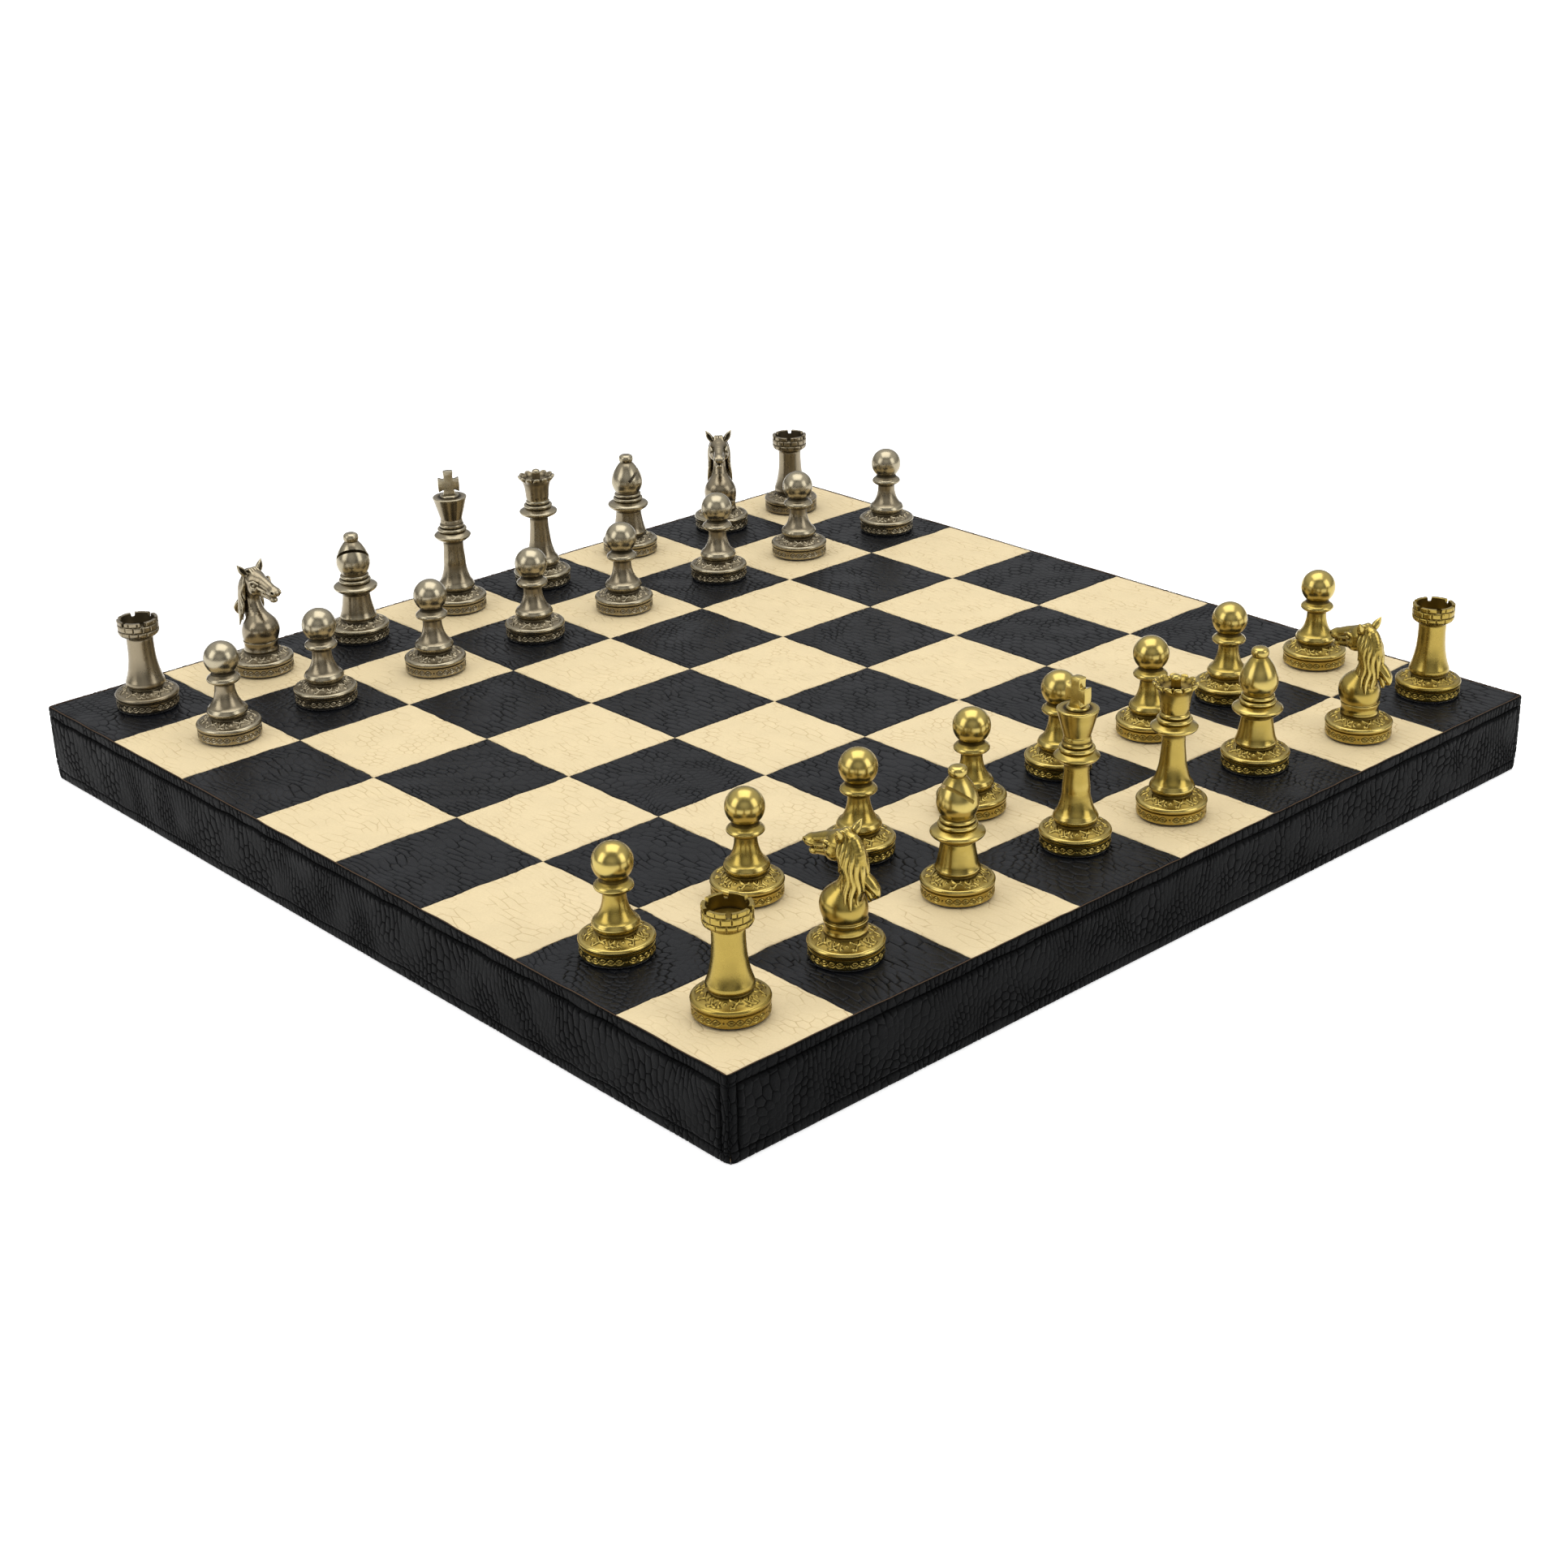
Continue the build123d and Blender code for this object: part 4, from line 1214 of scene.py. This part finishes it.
def side_leather(side):
    """The leather on one side, with a raised panel inside a pressed line, rolled at its edges."""
    seed = 700 + SIDES[side]
    straight = SIDE_FACE - CORNER_RADIUS
    end = straight + CORNER_RADIUS * pi / 4
    low, high = np.array([-end, 0.0]), np.array([end, TOP])
    low, high = np.round(low / SNAP) * SNAP, np.round(high / SNAP) * SNAP
    panel_low = np.round((low + (PANEL_END_MARGIN, STRIP_MARGIN)) / SNAP) * SNAP
    panel_high = np.round((high - (PANEL_END_MARGIN, STRIP_MARGIN)) / SNAP) * SNAP
    across = spaced(-end, end, 1.95, 3.15, lambda x: smoothstep(0.5 + 0.8 * ripple(x, 0, 30, seed + 1)))
    along = spaced(0, TOP, 3.2, 7.5, lambda y: smoothstep(0.4 + 0.6 * ripple(0, y, 12, seed + 5)))
    cells = scale_pattern(across, along, 1.0, seed + 300)
    columns = list(zip((low[0], panel_low[0], panel_high[0]), (panel_low[0], panel_high[0], high[0])))
    rows = list(zip((low[1], panel_low[1], panel_high[1]), (panel_low[1], panel_high[1], high[1])))
    regions = [(np.array([x0, y0]), np.array([x1, y1])) for x0, x1 in columns for y0, y1 in rows]
    points, height, quads, triangles = scaled_sheet(cells, regions)
    u, v = points.T
    inside = np.minimum.reduce([u - panel_low[0], panel_high[0] - u, v - panel_low[1], panel_high[1] - v])
    line_near = 1 - smoothstep(np.abs(inside), 0.0, 0.5)
    strength = np.clip(0.65 + 0.5 * ripple(u, v, 9, seed + 2), 0.15, 1)
    lift = (STRIP_FACE - SIDE_FACE) * smoothstep(inside, 0.0, 0.9)
    lift = lift - (1 - height) * SIDE_SCALE_DEPTH * strength - PRESSED_LINE_DEPTH * line_near
    # Painted shade in the creases between scales and along the pressed line.
    crease = np.maximum((1 - height) ** 1.3 * strength, line_near)
    wave = 1 - smoothstep(np.abs(inside), 1.0, 3.0)
    v = v + 0.22 * wave * ripple(u, 0 * v, 9, seed + 3)
    u = u + 0.2 * wave * ripple(0 * u, v, 8, seed + 4) * (np.abs(u) < straight)
    rim = (points[:, 1] > high[1] - SNAP / 2) | (points[:, 1] < SNAP / 2)
    v = np.where(rim, points[:, 1], v)
    u = np.where(np.abs(points[:, 0]) > end - SNAP, points[:, 0], u)
    top_edge = points[:, 1] > high[1] - SNAP / 2
    mesh = build_mesh(
        f"side_leather_{side}", np.stack([u, v, lift], 1), quads, triangles,
        {"crease": crease, "cut": top_edge * 0.4}, 70,
    )
    b = bmesh.new()
    b.from_mesh(mesh)

    def bends(e):
        a, c = e.verts[0].co / MM, e.verts[1].co / MM
        near_edge = min(a.y, c.y) < LOW_ROLL + 0.1 or max(a.y, c.y) > TOP - TOP_ROLL - 0.1
        return near_edge or max(abs(a.x), abs(c.x)) > straight - 2.5

    bmesh.ops.subdivide_edges(b, edges=[e for e in b.edges if bends(e)], cuts=1, use_grid_fill=True)
    turn = Matrix.Rotation(radians(SIDES[side] - 90), 3, "Z")
    for vert in b.verts:
        s, t, out = vert.co / MM
        roll_low = max(0.0, 1 - t / LOW_ROLL) * pi / 2
        roll_high = max(0.0, 1 - (TOP - t) / TOP_ROLL) * pi / 2
        z = t
        if roll_low > 0:
            z = LOW_ROLL * (1 - sin(roll_low)) - out * sin(roll_low)
            out = out * cos(roll_low) - LOW_PULL * (1 - cos(roll_low))
        elif roll_high > 0:
            z = TOP - TOP_ROLL * (1 - sin(roll_high)) + min(out, 0) * sin(roll_high)
            out = out * cos(roll_high) - TOP_PULL * (1 - cos(roll_high))
        growth = float(smoothstep(LOW_CORNER_HEIGHT - t, 0, LOW_CORNER_HEIGHT))
        radius = CORNER_RADIUS + LOW_CORNER_GROWTH * growth
        flat = SIDE_FACE - radius
        bend = min(max(0.0, (abs(s) - flat) / (end - flat)), 1.0) * pi / 4
        x = min(abs(s), flat) + (radius + out) * sin(bend)
        y = flat + (radius + out) * cos(bend)
        x = min(x, y)
        vert.co = turn @ Vector((x if s >= 0 else -x, y, max(z, 0.0))) * MM
    b.to_mesh(mesh)
    b.free()

    def back(co):
        local = turn.inverted() @ co / MM
        x = max(-CORE_FACE, min(CORE_FACE, local.x))
        return turn @ Vector((x, CORE_FACE, local.z)) * MM

    close_sheet(mesh, back, 1.0)
    shade(mesh, 70)
    stands_for = [f"side_wrap_{side}", f"side_strip_{side}"]
    add_piece(f"side_leather_{side}", mesh, SIDE_LEATHER, "board", stands_for)


def make_board():
    """The leather squares and sides, and the finish of the board's hidden core."""
    for file in range(SQUARES):
        for rank in range(SQUARES):
            leather_square(file, rank, (file + rank) % 2 == 0)
    for side in SIDES:
        side_leather(side)
    finishes = {"bottom_lining": FELT_BLACK, "bottom_panel": FIBREBOARD, "top_panel": FIBREBOARD}
    finishes |= {"core_ribs": PINE} | {f"frame_rail_{side}": PINE for side in SIDES}
    for node, material in finishes.items():
        frame["nodes"][node].data.materials.clear()
        frame["nodes"][node].data.materials.append(material)


# ---------------------------------------------------------------- stage
CAMERA_AZIMUTH = -41.84
CAMERA_ELEVATION = 23.77
CAMERA_DISTANCE = 0.906
CAMERA_AIM = Vector((-0.0511, -0.0613, TOP * MM))
CAMERA_ROLL = -1.62
CAMERA_LENS = 58.49


def add_camera():
    """The camera at the viewing angle of the photograph."""
    a, e = radians(CAMERA_AZIMUTH), radians(CAMERA_ELEVATION)
    back = Vector((sin(a) * cos(e), -cos(a) * cos(e), sin(e)))
    data = bpy.data.cameras.new("camera")
    data.lens, data.sensor_width = CAMERA_LENS, 36.0
    data.clip_start, data.clip_end = 0.05, 60.0
    camera = bpy.data.objects.new("camera", data)
    turn = (-back).to_track_quat("-Z", "Y").to_matrix() @ Matrix.Rotation(radians(CAMERA_ROLL), 3, "Z")
    camera.matrix_world = Matrix.Translation(CAMERA_AIM + back * CAMERA_DISTANCE) @ turn.to_4x4()
    bpy.context.scene.collection.objects.link(camera)
    bpy.context.scene.camera = camera


def add_light(name, place, aim, size, power, colour=(1, 1, 1)):
    """A soft rectangular light."""
    data = bpy.data.lights.new(name, "AREA")
    data.shape, data.size, data.size_y = "RECTANGLE", *size
    data.energy, data.color = power, colour
    light = bpy.data.objects.new(name, data)
    light.location = place
    light.rotation_euler = (Vector(aim) - Vector(place)).to_track_quat("-Z", "Y").to_euler()
    bpy.context.scene.collection.objects.link(light)


def add_stage():
    """A pale floor, a pale room with a darker ring behind the camera, and three large soft lights."""
    mesh = bpy.data.meshes.new("floor")
    reach = 30.0
    corners = [(-reach, -reach, 0), (reach, -reach, 0), (reach, reach, 0), (-reach, reach, 0)]
    mesh.from_pydata(corners, [], [(0, 1, 2, 3)])
    floor = bpy.data.objects.new("floor", mesh)
    floor.location.z = -0.0002
    bpy.context.scene.collection.objects.link(floor)
    pale = Shader("pale_floor", Roughness=0.9, Emission_Color=(1, 1, 1, 1), Emission_Strength=0.55)
    pale.set("Base Color", pale.ramp(pale.noise(400, 2), (0.0, (0.86, 0.86, 0.86)), (1.0, (0.9, 0.9, 0.9))))
    mesh.materials.append(pale.material)

    world = bpy.data.worlds.new("room")
    world.use_nodes = True
    room = Nodes(world.node_tree)
    background = world.node_tree.nodes["Background"].inputs
    way = room.add("ShaderNodeTexCoord").outputs["Generated"]
    dark_way = Vector((-0.63, -0.7, 0.33)).normalized()
    facing = room.add("ShaderNodeVectorMath", {0: way, 1: dark_way}, operation="DOT_PRODUCT").outputs["Value"]
    levels = ((0.0, 1.0), (0.72, 0.95), (0.9, 0.22), (1.0, 1.0))
    stops = [(place, (level, level, level)) for place, level in levels]
    room.put(background["Color"], room.ramp(room.spread(facing, -1, 1), *stops))
    height = room.add("ShaderNodeSeparateXYZ", {0: way}).outputs["Z"]
    rise = room.spread(height, 0.0, 0.62, 0.3, 0.85, interpolation_type="SMOOTHSTEP")
    room.put(background["Strength"], rise)
    bpy.context.scene.world = world

    add_light("overhead_softbox", (0.1, 0.1, 1.35), (0, 0, 0), (1.3, 1.3), 11.5)
    add_light("left_softbox", (-1.3, 0.35, 0.75), (0, 0, 0.03), (0.8, 1.1), 6)
    add_light("right_softbox", (0.5, -1.35, 0.75), (0, 0, 0.03), (0.8, 1.1), 6)
    bpy.context.scene.view_settings.view_transform = "Standard"


add_camera()
add_stage()
make_board()
make_men()
